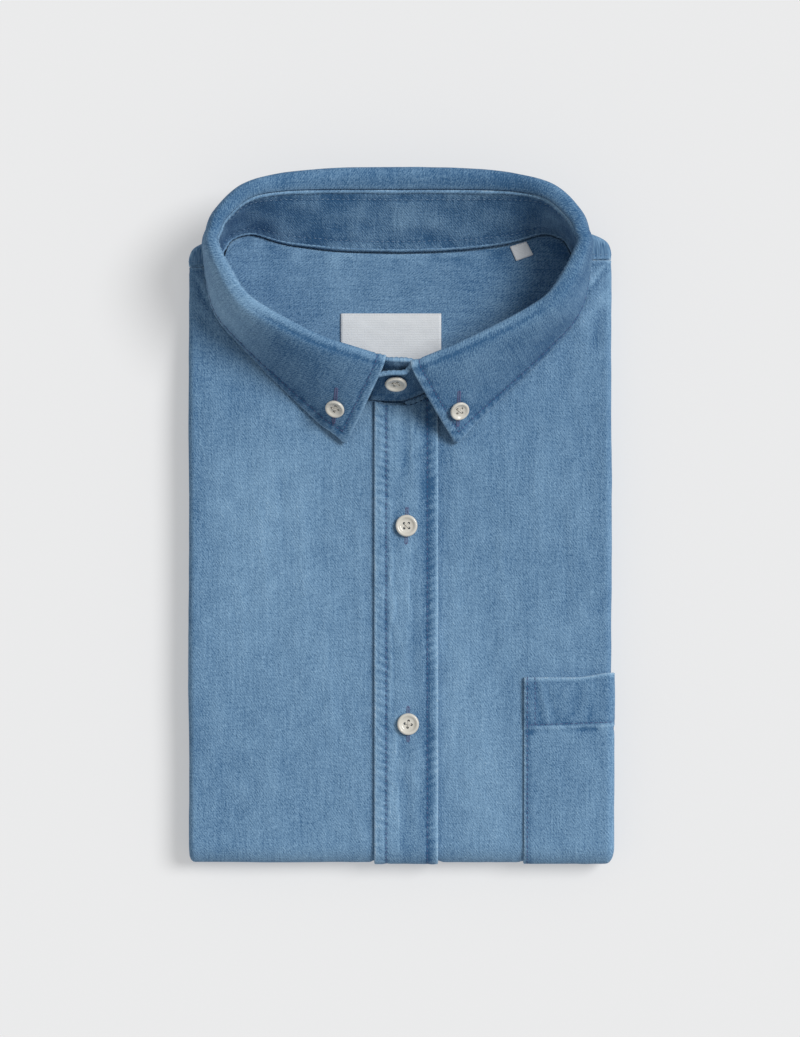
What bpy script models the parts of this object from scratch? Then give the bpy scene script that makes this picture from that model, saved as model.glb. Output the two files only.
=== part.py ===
"""A denim shirt folded for a shelf: face up, collar buttoned and standing, sleeves and tail under.

The folded body is two thick layers. The upper one holds the chest, and at the lower edge the cloth
turns under and runs back beneath it as the second layer. Every piece of the body is placed by
body_point, which takes a distance along that turned path, a place across it and a depth below the
outer face, so that a piece that lies on a panel is made from the panel's own points, moved out.
The collar is a ring whose rows are worked out from the stations in COLLAR.

X points to the wearer's left, Y to the collar and Z up. Tables are in millimetres.
"""

import math
from collections import namedtuple

import bmesh
import bpy
import numpy as np
from mathutils import Vector
from mathutils.bvhtree import BVHTree

MM = 0.001
GAP = 0.3

# The folded body.
HALF_WIDTH = 110.0
LOWER_FOLD = -180.7
BODY_HEIGHT = 18.6
LAYER_SPLIT = 9.7
UNDER_LAYER = 8.9
SIDE_ROUND = 3.0
SIDE_TURN = 12.0
TAIL_END = 128.0
TAIL_PANEL_END = 118.0
CLOTH = 1.2

Profile = namedtuple("Profile", "y z")
TOP_PROFILE = [
    Profile(-190, BODY_HEIGHT),
    Profile(30, 18.7),
    Profile(60, 18.2),
    Profile(100, 16.2),
    Profile(130, 14.4),
    Profile(170, 14.2),
]

# The placket, a folded strip on the wearer's left front that laps over the right one.
PLACKET_LEFT = -13.2
PLACKET_RIGHT = 19.6
PLACKET_CLOTH = 1.6
FRONTS_MEET = 16.0

# The chest pocket, which wraps the fold on the wearer's left.
POCKET_INNER_X = 64.6
POCKET_TOP_INNER = -84.0
POCKET_TOP_OUTER = -81.6
POCKET_UNDER = 12.0
POCKET_WRAP = 1.45

# The seams where the fronts meet the yoke, one for each shoulder.
SHOULDER_SEAM = {"right": 129.7, "left": 133.4}

# The collar.
COLLAR_CENTRE = -1.3
STAND_CLOTH = 1.8
LEAF_CLOTH = 1.6
LAP_SPREAD = 1.8
CREST_RISE = 3.0
NECK_CLEAR = 1.5
NECK_REACH = 93.0
STAND_BOW = 0.7
LEAF_LIFT = 1.1

Station = namedtuple(
    "Station", "place seam_x seam_y top_x top_y stand roll belly edge_x edge_y edge_z lap"
)
COLLAR = [
    Station("back", 0.0, 137.9, 0.0, 168.3, 36.0, 7.0, 11.0, 0.0, 159.4, 1.2, 0.0),
    Station("back blade", 31.3, 139.0, 32.0, 168.2, 36.0, 6.3, 11.0, 32.5, 158.9, 1.2, 0.0),
    Station("back quarter", 57.4, 142.4, 59.2, 167.0, 36.0, 5.7, 9.0, 59.3, 158.0, 1.4, 0.0),
    Station("back corner", 75.6, 147.6, 76.0, 163.1, 35.5, 5.5, 6.0, 77.8, 156.4, 2.4, 0.0),
    Station("neck point", 86.5, 144.9, 87.6, 153.1, 35.0, 4.4, 4.0, 92.0, 153.4, 9.5, 0.0),
    Station("shoulder", 90.6, 139.4, 91.2, 146.0, 35.0, 3.4, 3.5, 97.6, 144.8, 16.2, 0.0),
    Station("side", 91.7, 134.4, 92.1, 138.2, 34.5, 3.2, 3.2, 100.0, 135.4, 16.2, 0.0),
    Station("side front", 85.4, 114.5, 80.4, 116.7, 34.0, 4.2, 3.6, 95.7, 107.7, 17.2, 0.0),
    Station("quarter", 73.9, 98.9, 67.6, 106.2, 33.0, 4.4, 4.0, 81.1, 88.4, 18.6, 0.0),
    Station("front quarter", 43.7, 80.1, 41.0, 92.2, 32.0, 3.8, 4.0, 57.2, 64.4, 19.8, 0.0),
    Station("front", 20.8, 69.2, 20.5, 84.1, 31.0, 3.1, 3.4, 40.5, 48.3, 20.4, 0.6),
    Station("leaf end", 6.2, 62.9, 6.5, 79.6, 30.0, 2.2, 1.5, 28.8, 36.9, 20.8, 1.0),
    Station("lap", -5.0, 62.0, -4.6, 78.9, 29.6, 2.2, 1.5, 0.0, 0.0, 0.0, 1.0),
    Station("lap end", -14.0, 62.6, -12.6, 77.4, 26.0, 2.2, 1.5, 0.0, 0.0, 0.0, 1.0),
]
LEAF_END = 11
STAND_STEP = 0.5
TIP_SHIFT = 1.8

# The outer yoke: its rim in plan, where its upper ply stops and where its lower ply stops.
Rim = namedtuple("Rim", "out_x out_y in_x in_y under_x under_y height round")
YOKE_RIM = [
    Rim(110.0, 0.0, 94.4, 0.6, 94.0, 0.3, 14.4, 3.0),
    Rim(110.0, 4.6, 94.2, 2.4, 93.4, -0.5, 14.4, 3.0),
    Rim(107.8, 9.4, 93.8, 5.2, 91.0, -1.8, 14.3, 3.0),
    Rim(101.6, 13.0, 93.0, 8.6, 87.6, -5.6, 14.2, 2.8),
    Rim(94.6, 16.2, 91.0, 12.6, 85.0, -11.5, 13.8, 2.2),
    Rim(88.6, 20.0, 87.4, 16.6, 80.0, -11.5, 13.0, 1.5),
    Rim(77.4, 22.9, 76.4, 19.6, 72.0, -11.5, 12.6, 1.4),
    Rim(57.0, 18.4, 57.0, 15.2, 56.0, -11.5, 12.6, 1.4),
    Rim(31.0, 14.8, 31.0, 11.7, 31.0, -11.5, 12.6, 1.4),
    Rim(0.0, 13.7, 0.0, 10.5, 0.0, -11.5, 12.6, 1.4),
]
RIM_BASE = 129.9
YOKE_STEPS = 2
YOKE_CLOTH = 1.1

# The inside of the yoke, seen through the neck, with what is sewn to it.
INNER_YOKE_TOP = 12.5
INNER_YOKE_IN = 1.6
INNER_YOKE_HALF = 94.0
INNER_YOKE_LOWER = 66.6
INNER_YOKE_SIDE = 126.0
LABEL_LEFT, LABEL_RIGHT = -30.8, 21.4
LABEL_LOWER, LABEL_UPPER = 78.5, 105.5
LABEL_CLOTH = 1.0
TAB_CORNERS = [(57.4, 140.4), (65.9, 143.0), (69.4, 136.2), (60.6, 133.0)]

# The buttons: the place in plan and the diameter of each.
Button = namedtuple("Button", "name x y across seat")
BUTTONS = [
    Button("stand_button", -2.1, 69.4, 11.4, "collar_stand"),
    Button("collar_button_right", -33.0, 56.7, 10.2, "collar_leaf"),
    Button("collar_button_left", 30.3, 55.0, 10.2, "collar_leaf"),
    Button("front_button_upper", 3.4, -5.0, 11.4, "front_placket"),
    Button("front_button_lower", 4.2, -108.0, 11.4, "front_placket"),
]
BUTTON_TURNS = 20
HOLE_SIDES = 6
HOLE_SPACING, HOLE_RADIUS = 1.25, 0.55

# Colour, roughness and metallic value of each finish.
Finish = namedtuple("Finish", "colour roughness metallic")
DENIM = Finish((0.16, 0.29, 0.43), 0.9, 0.0)
DARK_DENIM = Finish((0.10, 0.20, 0.32), 0.9, 0.0)
LABEL_WEAVE = Finish((0.74, 0.76, 0.78), 0.7, 0.0)
PEARL = Finish((0.78, 0.76, 0.70), 0.3, 0.0)


def clear_scene():
    for obj in list(bpy.data.objects):
        bpy.data.objects.remove(obj, do_unlink=True)


def material(name, finish):
    made = bpy.data.materials.new(name)
    made.use_nodes = True
    shader = made.node_tree.nodes["Principled BSDF"]
    shader.inputs["Base Color"].default_value = (*finish.colour, 1.0)
    shader.inputs["Roughness"].default_value = finish.roughness
    shader.inputs["Metallic"].default_value = finish.metallic
    return made


def add_object(name, bm, finish):
    """Turns a closed bmesh, in millimetres, into a named object in metres."""
    bmesh.ops.recalc_face_normals(bm, faces=bm.faces)
    bmesh.ops.scale(bm, vec=(MM, MM, MM), verts=bm.verts)
    mesh = bpy.data.meshes.new(name)
    bm.to_mesh(mesh)
    bm.free()
    mesh.materials.append(material(name + " finish", finish))
    mesh.shade_smooth()
    mesh.set_sharp_from_angle(angle=math.radians(50))
    obj = bpy.data.objects.new(name, mesh)
    bpy.context.collection.objects.link(obj)
    return obj


def smooth_step(value):
    value = min(max(value, 0.0), 1.0)
    return value * value * (3 - 2 * value)


def between(value, low, high, ease):
    """1 from low to high, and 0 more than ease outside them."""
    return smooth_step((value - low) / ease + 1) * smooth_step((high - value) / ease + 1)


def along(rows, place):
    """Reads a table of numbers at a fractional row, on a smooth curve through its rows."""
    first = min(int(place), len(rows) - 2)
    part = place - first
    before, here, there, after = (
        np.array(rows[min(max(first + step, 0), len(rows) - 1)], float) for step in (-1, 0, 1, 2)
    )
    slope_here, slope_there = (there - before) / 2, (after - here) / 2
    square, cube = part**2, part**3
    return (
        here * (2 * cube - 3 * square + 1)
        + slope_here * (cube - 2 * square + part)
        + there * (3 * square - 2 * cube)
        + slope_there * (cube - square)
    )


# Walls.


def close_wall(name, outer, inner, finish):
    """One solid between two matching grids of points, the outer face and the inner face."""
    rows, columns = len(outer), len(outer[0])
    bm = bmesh.new()
    faces = [[[bm.verts.new(point) for point in row] for row in grid] for grid in (outer, inner)]
    for grid in faces:
        for row in range(rows - 1):
            for column in range(columns - 1):
                bm.faces.new(
                    (
                        grid[row][column],
                        grid[row][column + 1],
                        grid[row + 1][column + 1],
                        grid[row + 1][column],
                    )
                )
    around = [(0, column) for column in range(columns - 1)]
    around += [(row, columns - 1) for row in range(rows - 1)]
    around += [(rows - 1, column) for column in range(columns - 1, 0, -1)]
    around += [(row, 0) for row in range(rows - 1, 0, -1)]
    for (row, column), (next_row, next_column) in zip(around, around[1:] + around[:1]):
        bm.faces.new(
            (
                faces[0][row][column],
                faces[0][next_row][next_column],
                faces[1][next_row][next_column],
                faces[1][row][column],
            )
        )
    return add_object(name, bm, finish)


def offset_grid(grid, distance):
    """The grid's points moved along its normals."""
    grid = np.array(grid)
    normal = np.cross(np.gradient(grid, axis=1), np.gradient(grid, axis=0))
    return grid + distance * normal / np.linalg.norm(normal, axis=2, keepdims=True)


# The folded body.


def top_height(y):
    return float(np.interp(y, [row.y for row in TOP_PROFILE], [row.z for row in TOP_PROFILE]))


FOLD_RADIUS = BODY_HEIGHT / 2
FOLD_START = LOWER_FOLD + FOLD_RADIUS
FOLD_LENGTH = math.pi * FOLD_RADIUS


def run_of(y, under=False):
    """The distance along the turned path: negative on top, past FOLD_LENGTH underneath."""
    return FOLD_LENGTH + y - FOLD_START if under else FOLD_START - y


def layer_thickness(run):
    if run < 0:
        return top_height(FOLD_START - run) - LAYER_SPLIT
    return UNDER_LAYER


def path_point(run, depth):
    """(y, z) at a depth below the outer face of the turned path."""
    if run <= 0:
        y = FOLD_START - run
        return y, top_height(y) - depth
    if run >= FOLD_LENGTH:
        return FOLD_START + run - FOLD_LENGTH, depth
    turn = run / FOLD_RADIUS
    reach = FOLD_RADIUS - depth
    return FOLD_START - reach * math.sin(turn), FOLD_RADIUS + reach * math.cos(turn)


def across_point(across, thickness, depth):
    """(x, depth): 0 to 1 is the flat face, 1 to 2 the side fold and 2 to 3 the turned-in ply."""
    flat = HALF_WIDTH - SIDE_ROUND
    if across <= 1:
        return across * flat, depth
    if across <= 2:
        angle = (across - 1) * math.pi
        half = thickness / 2
        return (
            flat + (SIDE_ROUND - depth) * math.sin(angle),
            half - (half - depth) * math.cos(angle),
        )
    return flat - (across - 2) * SIDE_TURN, thickness - depth


def across_of(x):
    return x / (HALF_WIDTH - SIDE_ROUND)


def recess(run, side, across):
    """How far the placket and the pocket push the cloth in where the shirt lies on them."""
    turned = smooth_step(run / FOLD_LENGTH)
    x = side * across * (HALF_WIDTH - SIDE_ROUND)
    placket = between(x, PLACKET_LEFT - GAP, PLACKET_RIGHT + GAP, 2.4) * (across < 1)
    pocket = between(across, across_of(POCKET_INNER_X) - 0.004, POCKET_WRAP, 0.03)
    covered = between(run, -1e3, FOLD_LENGTH + POCKET_UNDER + GAP, 4.0)
    pocket *= covered if side > 0 else 0.0
    return turned * max((PLACKET_CLOTH + GAP) * placket, (CLOTH + GAP) * pocket)


def body_point(run, side, across, depth):
    """One point of the folded body. side is 1 for the wearer's left and -1 for the right."""
    thickness = layer_thickness(run)
    x, below = across_point(across, thickness, depth + recess(run, side, across))
    y, z = path_point(run, below)
    return side * x, y, z


def body_wall(name, rows, side, places, depth, cloth, finish):
    """A ply of the body: rows(across) gives a column's distances along the path."""
    grids = []
    for below in (depth, depth + cloth):
        columns = [[body_point(run, side, a, below) for run in rows(a)] for a in places]
        grids.append(columns)
    return close_wall(name, grids[0], grids[1], finish)


# The collar's ring.


def ring_half(place, side):
    """The seam, top and edge of the collar at a fractional station, and its outward direction."""
    table = [row[1:] for row in COLLAR]
    here = Station("", *along(table, place))
    ahead = Station("", *along(table, min(place + 0.05, len(COLLAR) - 1)))
    behind = Station("", *along(table, max(place - 0.05, 0.0)))
    run_x = ahead.top_x - behind.top_x + ahead.seam_x - behind.seam_x
    run_y = ahead.top_y - behind.top_y + ahead.seam_y - behind.seam_y
    length = math.hypot(run_x, run_y)
    outward = np.array([-run_y / length, run_x / length, 0.0])
    seam_z = INNER_YOKE_TOP + (top_height(here.seam_y) + 0.4 - INNER_YOKE_TOP) * smooth_step(
        (place - 3) / 3
    )
    seam = np.array([here.seam_x, here.seam_y, seam_z])
    lean = math.hypot(here.top_x - here.seam_x, here.top_y - here.seam_y)
    top = np.array([here.top_x, here.top_y, seam_z + math.sqrt(here.stand**2 - lean**2)])
    rise = (top - seam) / here.stand
    face = np.cross([-outward[1], outward[0], 0.0], rise)
    face *= math.copysign(1.0, face @ outward + 1e-9)
    shift = face * LAP_SPREAD * here.lap * side
    edge = np.array([here.edge_x, here.edge_y, here.edge_z])
    tip = smooth_step(place - (LEAF_END - 1))
    mirror = np.array([side, 1.0, 1.0])
    centre = np.array([COLLAR_CENTRE, 0.0, 0.0])
    edge_centre = centre + np.array([TIP_SHIFT * tip, 0.0, 0.0])
    return {
        "seam": (seam + shift) * mirror + centre,
        "top": (top + shift) * mirror + centre,
        "edge": edge * mirror + edge_centre,
        "out": outward * mirror,
        "rise": rise * mirror,
        "roll": here.roll,
        "belly": here.belly,
    }


def ring(last, step):
    """The whole ring, from the wearer's right end round the back to the left end."""
    places = np.arange(0.0, last + step / 2, step)
    right = [ring_half(place, -1) for place in places[::-1]]
    left = [ring_half(place, 1) for place in places[1:]]
    return right + left


def stand_row(row):
    return [
        row["seam"]
        + (row["top"] - row["seam"]) * part
        + row["out"] * STAND_BOW * math.sin(part * math.pi)
        for part in np.linspace(0, 1, 4)
    ]


def curve_points(controls, count):
    """Points on the Bezier curve of these control points, its first point left out."""
    degree = len(controls) - 1
    points = []
    for part in np.linspace(0, 1, count + 1)[1:]:
        weights = [
            math.comb(degree, order) * part**order * (1 - part) ** (degree - order)
            for order in range(degree + 1)
        ]
        points.append(sum(weight * control for weight, control in zip(weights, controls)))
    return points


def leaf_row(row):
    """A section of the leaf: up from the stand, over the crest and down to its edge."""
    up = np.array([0.0, 0.0, 1.0])
    start = row["top"] + row["rise"] * LEAF_LIFT
    crest = row["top"] + row["out"] * row["roll"] + up * CREST_RISE
    edge = row["edge"]
    first = start + row["rise"] * 1.4 + up * 0.9
    brow = crest + row["out"] * (1 + 0.8 * row["belly"])
    belly = edge + 0.45 * (crest - edge) + row["out"] * row["belly"]
    return [start] + curve_points([start, first, crest], 2) + curve_points(
        [crest, brow, belly, edge], 6
    )


# The pieces.


def neckline(x):
    """The y of the fronts' cut neck edge at a distance from the collar's centre."""
    places = np.linspace(6, len(COLLAR) - 3, 50)
    rows = [ring_half(place, 1) for place in places]
    xs = [row["seam"][0] - COLLAR_CENTRE for row in rows]
    ys = [row["seam"][1] - NECK_CLEAR * (1 + abs(row["out"][1])) for row in rows]
    return float(np.interp(x, xs[::-1], ys[::-1]))


def front_rows(side, inset=0.0):
    """For a column of a front: its distances along the path, from the neck round to the tail."""
    seam = SHOULDER_SEAM["left" if side > 0 else "right"] - GAP

    def rows(across):
        x = abs(side * min(across, 1.0) * (HALF_WIDTH - SIDE_ROUND) - COLLAR_CENTRE)
        upper = min(neckline(x), seam) if x < NECK_REACH else seam
        above = np.linspace(run_of(upper - inset), run_of(30.0), 7)
        flat = [run_of(-80.0), 0.0]
        turn = np.linspace(0, FOLD_LENGTH, 7)[1:]
        under = [FOLD_LENGTH + POCKET_UNDER, FOLD_LENGTH + POCKET_UNDER + 4.5]
        return [*above, *flat, *turn, *under, run_of(TAIL_PANEL_END, under=True)]

    return rows


SIDE_PLACES = [1.17, 1.34, POCKET_WRAP, 1.5, 1.66, 1.83, 2.0, 3.0]


def build_front_right():
    inner = [-across_of(FRONTS_MEET - GAP), -across_of(6.0)]
    strip = [across_of(-PLACKET_LEFT), across_of(-PLACKET_LEFT + 2.7)]
    outward = [across_of(x) for x in (30, 45, 60, 74, 82, 88, 92, 96, 102)]
    places = [*inner, *strip, *outward, 1.0, *SIDE_PLACES]
    body_wall("front_right", front_rows(-1), -1, places, 0.0, CLOTH, DENIM)


def build_front_left():
    inner = [FRONTS_MEET + GAP, PLACKET_RIGHT + GAP, PLACKET_RIGHT + 2.7]
    outward = [34, 48, POCKET_INNER_X - 3, POCKET_INNER_X - 0.4, 74, 80, 86, 90, 96, 102]
    places = [across_of(x) for x in inner + outward] + [1.0, *SIDE_PLACES]
    body_wall("front_left", front_rows(1), 1, places, 0.0, CLOTH, DENIM)


def build_placket():
    places = [across_of(x) for x in np.linspace(PLACKET_LEFT, PLACKET_RIGHT, 4)]
    rows = front_rows(1, inset=1.0)
    body_wall("front_placket", rows, 1, places, -GAP - PLACKET_CLOTH, PLACKET_CLOTH, DENIM)


def build_pocket():
    places = [across_of(POCKET_INNER_X), 0.74, 0.9, 1.0, 1.12, 1.25, 1.36, POCKET_WRAP]

    def rows(across):
        part = (min(across, 1.0) - places[0]) / (1.0 - places[0])
        upper = POCKET_TOP_INNER + (POCKET_TOP_OUTER - POCKET_TOP_INNER) * part
        turn = np.linspace(0, FOLD_LENGTH, 7)[1:]
        return [run_of(upper), run_of(upper - 26.0), 0.0, *turn, FOLD_LENGTH + POCKET_UNDER]

    body_wall("chest_pocket", rows, 1, places, -GAP - CLOTH, CLOTH, DENIM)


CORE_GAP = CLOTH + GAP
CORE_HALF = INNER_YOKE_HALF + 0.5
CORE_STEP = HALF_WIDTH - SIDE_ROUND - SIDE_TURN - GAP


def core_ring(run, wide):
    """One closed section of the hidden plies. wide is 0 inside the fronts and 1 at the bare tail."""
    thickness = layer_thickness(run)
    y, _ = path_point(run, 0.0)
    depth = CORE_GAP * (1 - wide)
    neck = smooth_step((y - 58) / 7) if run < 0 else 0.0
    sunk = top_height(y) - INNER_YOKE_TOP + CORE_GAP
    half_ring = []
    for x in (0, 8, -PLACKET_LEFT, PLACKET_RIGHT + 0.3, PLACKET_RIGHT + 3, 61.6, 64, 86, CORE_HALF):
        half_ring.append((across_of(x), depth + (sunk - depth) * neck))
    half_ring += [(across_of(CORE_HALF + 2), depth), (1.0, depth)]
    half_ring += [(across, depth) for across in (1.25, POCKET_WRAP, 1.75, 2.0)]
    points = []
    for side in (1, -1):
        line = []
        for across, below in half_ring:
            line.append(body_point(run, side, across, below))
        for x, below in ((CORE_STEP, thickness - depth), (CORE_STEP - 0.2, thickness), (0, thickness)):
            y_in, z_in = path_point(run, below)
            line.append((side * x, y_in, z_in))
        points.append(line)
    right = points[1][1:-1]
    return points[0] + right[::-1]


def build_folded_layers():
    """The back, sleeves and tail inside the fold, as one solid that turns under with the fronts."""
    upper = [117.4, 96.0, 76.0, 66.0, 62.0, 58.0, 30.0]
    runs = [run_of(y) for y in upper] + [run_of(-80.0), 0.0]
    runs += list(np.linspace(0, FOLD_LENGTH, 7)[1:])
    runs += [FOLD_LENGTH + POCKET_UNDER, FOLD_LENGTH + POCKET_UNDER + 4.5]
    tail = run_of(TAIL_PANEL_END + GAP, under=True)
    rings = [core_ring(run, 0.0) for run in [*runs, tail]]
    rings.append(core_ring(tail, 1.0))
    full = np.array(rings[-1])
    middle = np.array([0.0, 0.0, UNDER_LAYER / 2])
    length = TAIL_END - TAIL_PANEL_END - GAP
    for part in (0.55, 0.8, 0.95, 1.0):
        round_off = 1 - math.sqrt(max(1 - ((part - 0.55) / 0.5) ** 2, 0.0))
        shrink = np.array([1 - 0.03 * round_off, 0.0, 1 - 0.75 * round_off])
        moved = (full - middle) * shrink + middle
        moved[:, 1] = full[:, 1] + length * part
        rings.append(moved)
    bm = bmesh.new()
    loops = [[bm.verts.new(point) for point in points] for points in rings]
    for here, there in zip(loops, loops[1:]):
        for index in range(len(here)):
            after = (index + 1) % len(here)
            bm.faces.new((here[index], here[after], there[after], there[index]))
    bm.faces.new(loops[0])
    bm.faces.new(loops[-1])
    add_object("folded_layers", bm, DARK_DENIM)


def yoke_sections():
    """The outer yoke's rim rows from the right shoulder seam round the neck to the left one."""
    last = len(YOKE_RIM) - 1
    places = np.linspace(0, last, last * YOKE_STEPS + 1)
    half = [Rim(*along(YOKE_RIM, place)) for place in places]
    return [(row, -1) for row in half] + [(row, 1) for row in half[-2::-1]]


def yoke_section(row, side, base, ahead, behind, depth):
    """A section of the outer yoke: its upper ply, round the rim and back along the lower ply."""
    out = np.array([row.out_x * side, row.out_y + base])
    inner = np.array([row.in_x * side + COLLAR_CENTRE, row.in_y + base])
    under = np.array([row.under_x * side, row.under_y + base])
    tangent = ahead - behind
    outward = np.array([-tangent[1], tangent[0]]) / np.linalg.norm(tangent)
    half = (row.height - LAYER_SPLIT) / 2
    turn = out - outward * row.round
    points = []
    for part in (0.0, 0.5, 1.0):
        x, y = inner + (turn - inner) * part
        points.append((x, y, row.height - depth))
    for angle in np.linspace(0, math.pi, 6)[1:]:
        x, y = turn + outward * max(row.round - depth, 0.1) * math.sin(angle)
        points.append((x, y, LAYER_SPLIT + half + (half - depth) * math.cos(angle)))
    x, y = under
    points.append((x, y, LAYER_SPLIT + depth))
    return points


def build_back_yoke():
    rows = yoke_sections()
    rims = []
    for row, side in rows:
        seam = SHOULDER_SEAM["left" if side > 0 else "right"] - SHOULDER_SEAM["right"]
        share = smooth_step((abs(row.out_x) - 80) / 25)
        rims.append((row, side, RIM_BASE + seam * share))
    plan = [np.array([row.out_x * side, row.out_y + base]) for row, side, base in rims]
    grids = []
    for depth in (0.0, YOKE_CLOTH):
        grid = []
        for index, (row, side, base) in enumerate(rims):
            ahead = plan[min(index + 1, len(plan) - 1)]
            behind = plan[max(index - 1, 0)]
            grid.append(yoke_section(row, side, base, ahead, behind, depth))
        grids.append(grid)
    close_wall("back_yoke", grids[0], grids[1], DENIM)


def build_inner_yoke():
    """The yoke's inner ply, which lies inside the neck and ends at the stand's seam."""
    upper = [row["seam"] - row["out"] * INNER_YOKE_IN for row in ring(5, 0.5)]
    side = np.array([INNER_YOKE_HALF, INNER_YOKE_SIDE, 0.0])
    upper = [side * (-1, 1, 1), *upper, side]
    grids = []
    for z in (INNER_YOKE_TOP, INNER_YOKE_TOP - CLOTH):
        grid = []
        for x, y, _ in upper:
            grid.append([(x, y, z), (x, (y + INNER_YOKE_LOWER) / 2, z), (x, INNER_YOKE_LOWER, z)])
        grids.append(grid)
    close_wall("inner_yoke", grids[0], grids[1], DARK_DENIM)


def build_collar():
    stand = [stand_row(row) for row in ring(len(COLLAR) - 1, STAND_STEP)]
    leaf = [leaf_row(row) for row in ring(LEAF_END, STAND_STEP)]
    for name, grid, cloth in (
        ("collar_stand", stand, STAND_CLOTH),
        ("collar_leaf", leaf, LEAF_CLOTH),
    ):
        close_wall(name, offset_grid(grid, cloth / 2), offset_grid(grid, -cloth / 2), DENIM)


def flat_patch(name, corners, bottom, top, finish):
    """A thin label between two heights, with its corners in order round it."""
    faces = []
    for z in (top, bottom):
        first, second, third, fourth = ((x, y, z) for x, y in corners)
        faces.append([[first, second], [fourth, third]])
    close_wall(name, faces[0], faces[1], finish)


def build_labels():
    low = INNER_YOKE_TOP + GAP
    corners = [
        (LABEL_LEFT, LABEL_UPPER),
        (LABEL_RIGHT, LABEL_UPPER),
        (LABEL_RIGHT, LABEL_LOWER),
        (LABEL_LEFT, LABEL_LOWER),
    ]
    flat_patch("main_label", corners, low, low + LABEL_CLOTH, LABEL_WEAVE)
    flat_patch("size_tab", TAB_CORNERS, low, low + LABEL_CLOTH, LABEL_WEAVE)


def button_profile(radius):
    """(radius, height) down the outside of a turned button: dished face, raised rim, flat back."""
    return [
        (0.42 * radius, 1.55),
        (0.62 * radius, 1.75),
        (0.74 * radius, 2.45),
        (0.88 * radius, 2.6),
        (0.97 * radius, 2.2),
        (radius, 1.6),
        (0.93 * radius, 0.7),
        (0.7 * radius, 0.0),
    ]


def build_button(button, hidden_holes):
    radius = button.across / 2
    bm = bmesh.new()
    rings = []
    for distance, height in button_profile(radius):
        ring_verts = []
        for turn in range(BUTTON_TURNS):
            angle = 2 * math.pi * turn / BUTTON_TURNS
            place = (distance * math.cos(angle), distance * math.sin(angle), height)
            ring_verts.append(bm.verts.new(place))
        rings.append(ring_verts)
    for upper, lower in zip(rings, rings[1:]):
        for turn in range(BUTTON_TURNS):
            after = (turn + 1) % BUTTON_TURNS
            bm.faces.new((upper[turn], lower[turn], lower[after], upper[after]))
    bm.faces.new(rings[0])
    bm.faces.new(rings[-1][::-1])
    obj = add_object(button.name, bm, PEARL)
    obj.modifiers.new("four holes", "BOOLEAN").object = hidden_holes
    return obj


def build_holes(spacing, radius):
    """The cutter for a button's four holes, kept out of the model."""
    bm = bmesh.new()
    for x in (-spacing, spacing):
        for y in (-spacing, spacing):
            made = bmesh.ops.create_cone(
                bm,
                cap_ends=True,
                segments=HOLE_SIDES,
                radius1=radius,
                radius2=radius,
                depth=8.0,
            )
            bmesh.ops.translate(bm, verts=made["verts"], vec=(x, y, 1.0))
    obj = add_object("button_hole_cutter", bm, PEARL)
    obj.hide_render = True
    obj.display_type = "WIRE"
    return obj


def seat_button(button):
    """The turn and place that lay the button's back on its cloth, clear of every point below it."""
    carrier = bpy.data.objects[button.seat]
    tree = BVHTree.FromObject(carrier, bpy.context.evaluated_depsgraph_get())
    down = Vector((0, 0, -1))
    place, normal, _, _ = tree.ray_cast(Vector((button.x * MM, button.y * MM, 1.0)), down)
    turn = Vector((0, 0, 1)).rotation_difference(normal).to_matrix()
    clear = 0.0
    for step in range(BUTTON_TURNS):
        angle = 2 * math.pi * step / BUTTON_TURNS
        rim = Vector((math.cos(angle), math.sin(angle), 0)) * button.across / 2 * MM
        start = place + turn @ rim + normal * 0.01
        found, _, _, distance = tree.ray_cast(start, -normal, 0.02)
        if found:
            clear = max(clear, 0.01 - distance)
    turn = turn.to_4x4()
    turn.translation = place + normal * (GAP * MM + clear)
    return turn


def build_buttons():
    holes = build_holes(HOLE_SPACING, HOLE_RADIUS)
    bpy.context.view_layer.update()
    graph = bpy.context.evaluated_depsgraph_get()
    for button in BUTTONS:
        obj = build_button(button, holes)
        graph.update()
        mesh = bpy.data.meshes.new_from_object(obj.evaluated_get(bpy.context.evaluated_depsgraph_get()))
        obj.modifiers.clear()
        obj.data = mesh
        obj.data.transform(seat_button(button))


def centre_on_origin():
    """Moves every mesh so that the model's lowest face is centred on the origin."""
    objects = [obj for obj in bpy.data.objects if not obj.hide_render]
    points = np.array([vertex.co for obj in objects for vertex in obj.data.vertices])
    low, high = points.min(axis=0), points.max(axis=0)
    shift = Vector((-(low[0] + high[0]) / 2, -(low[1] + high[1]) / 2, -low[2]))
    for obj in objects:
        for vertex in obj.data.vertices:
            vertex.co += shift


def main():
    clear_scene()
    build_folded_layers()
    build_front_right()
    build_front_left()
    build_placket()
    build_pocket()
    build_back_yoke()
    build_inner_yoke()
    build_collar()
    build_labels()
    build_buttons()
    centre_on_origin()


main()
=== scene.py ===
# %% [markdown]
# # A folded denim shirt
#
# A washed denim shirt lies face up, folded for a shelf, with its button-down collar buttoned and
# standing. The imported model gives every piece's place. This script keeps those places and makes
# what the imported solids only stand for: cloth with a grain, seams that pucker, stitches, thread
# and pearl buttons.
#
# All tables are in millimetres on the model's own plan, and MM turns them into metres.

# %% The frame
import math
from collections import namedtuple

import bpy
import numpy as np
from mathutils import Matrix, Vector
from mathutils.bvhtree import BVHTree


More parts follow.
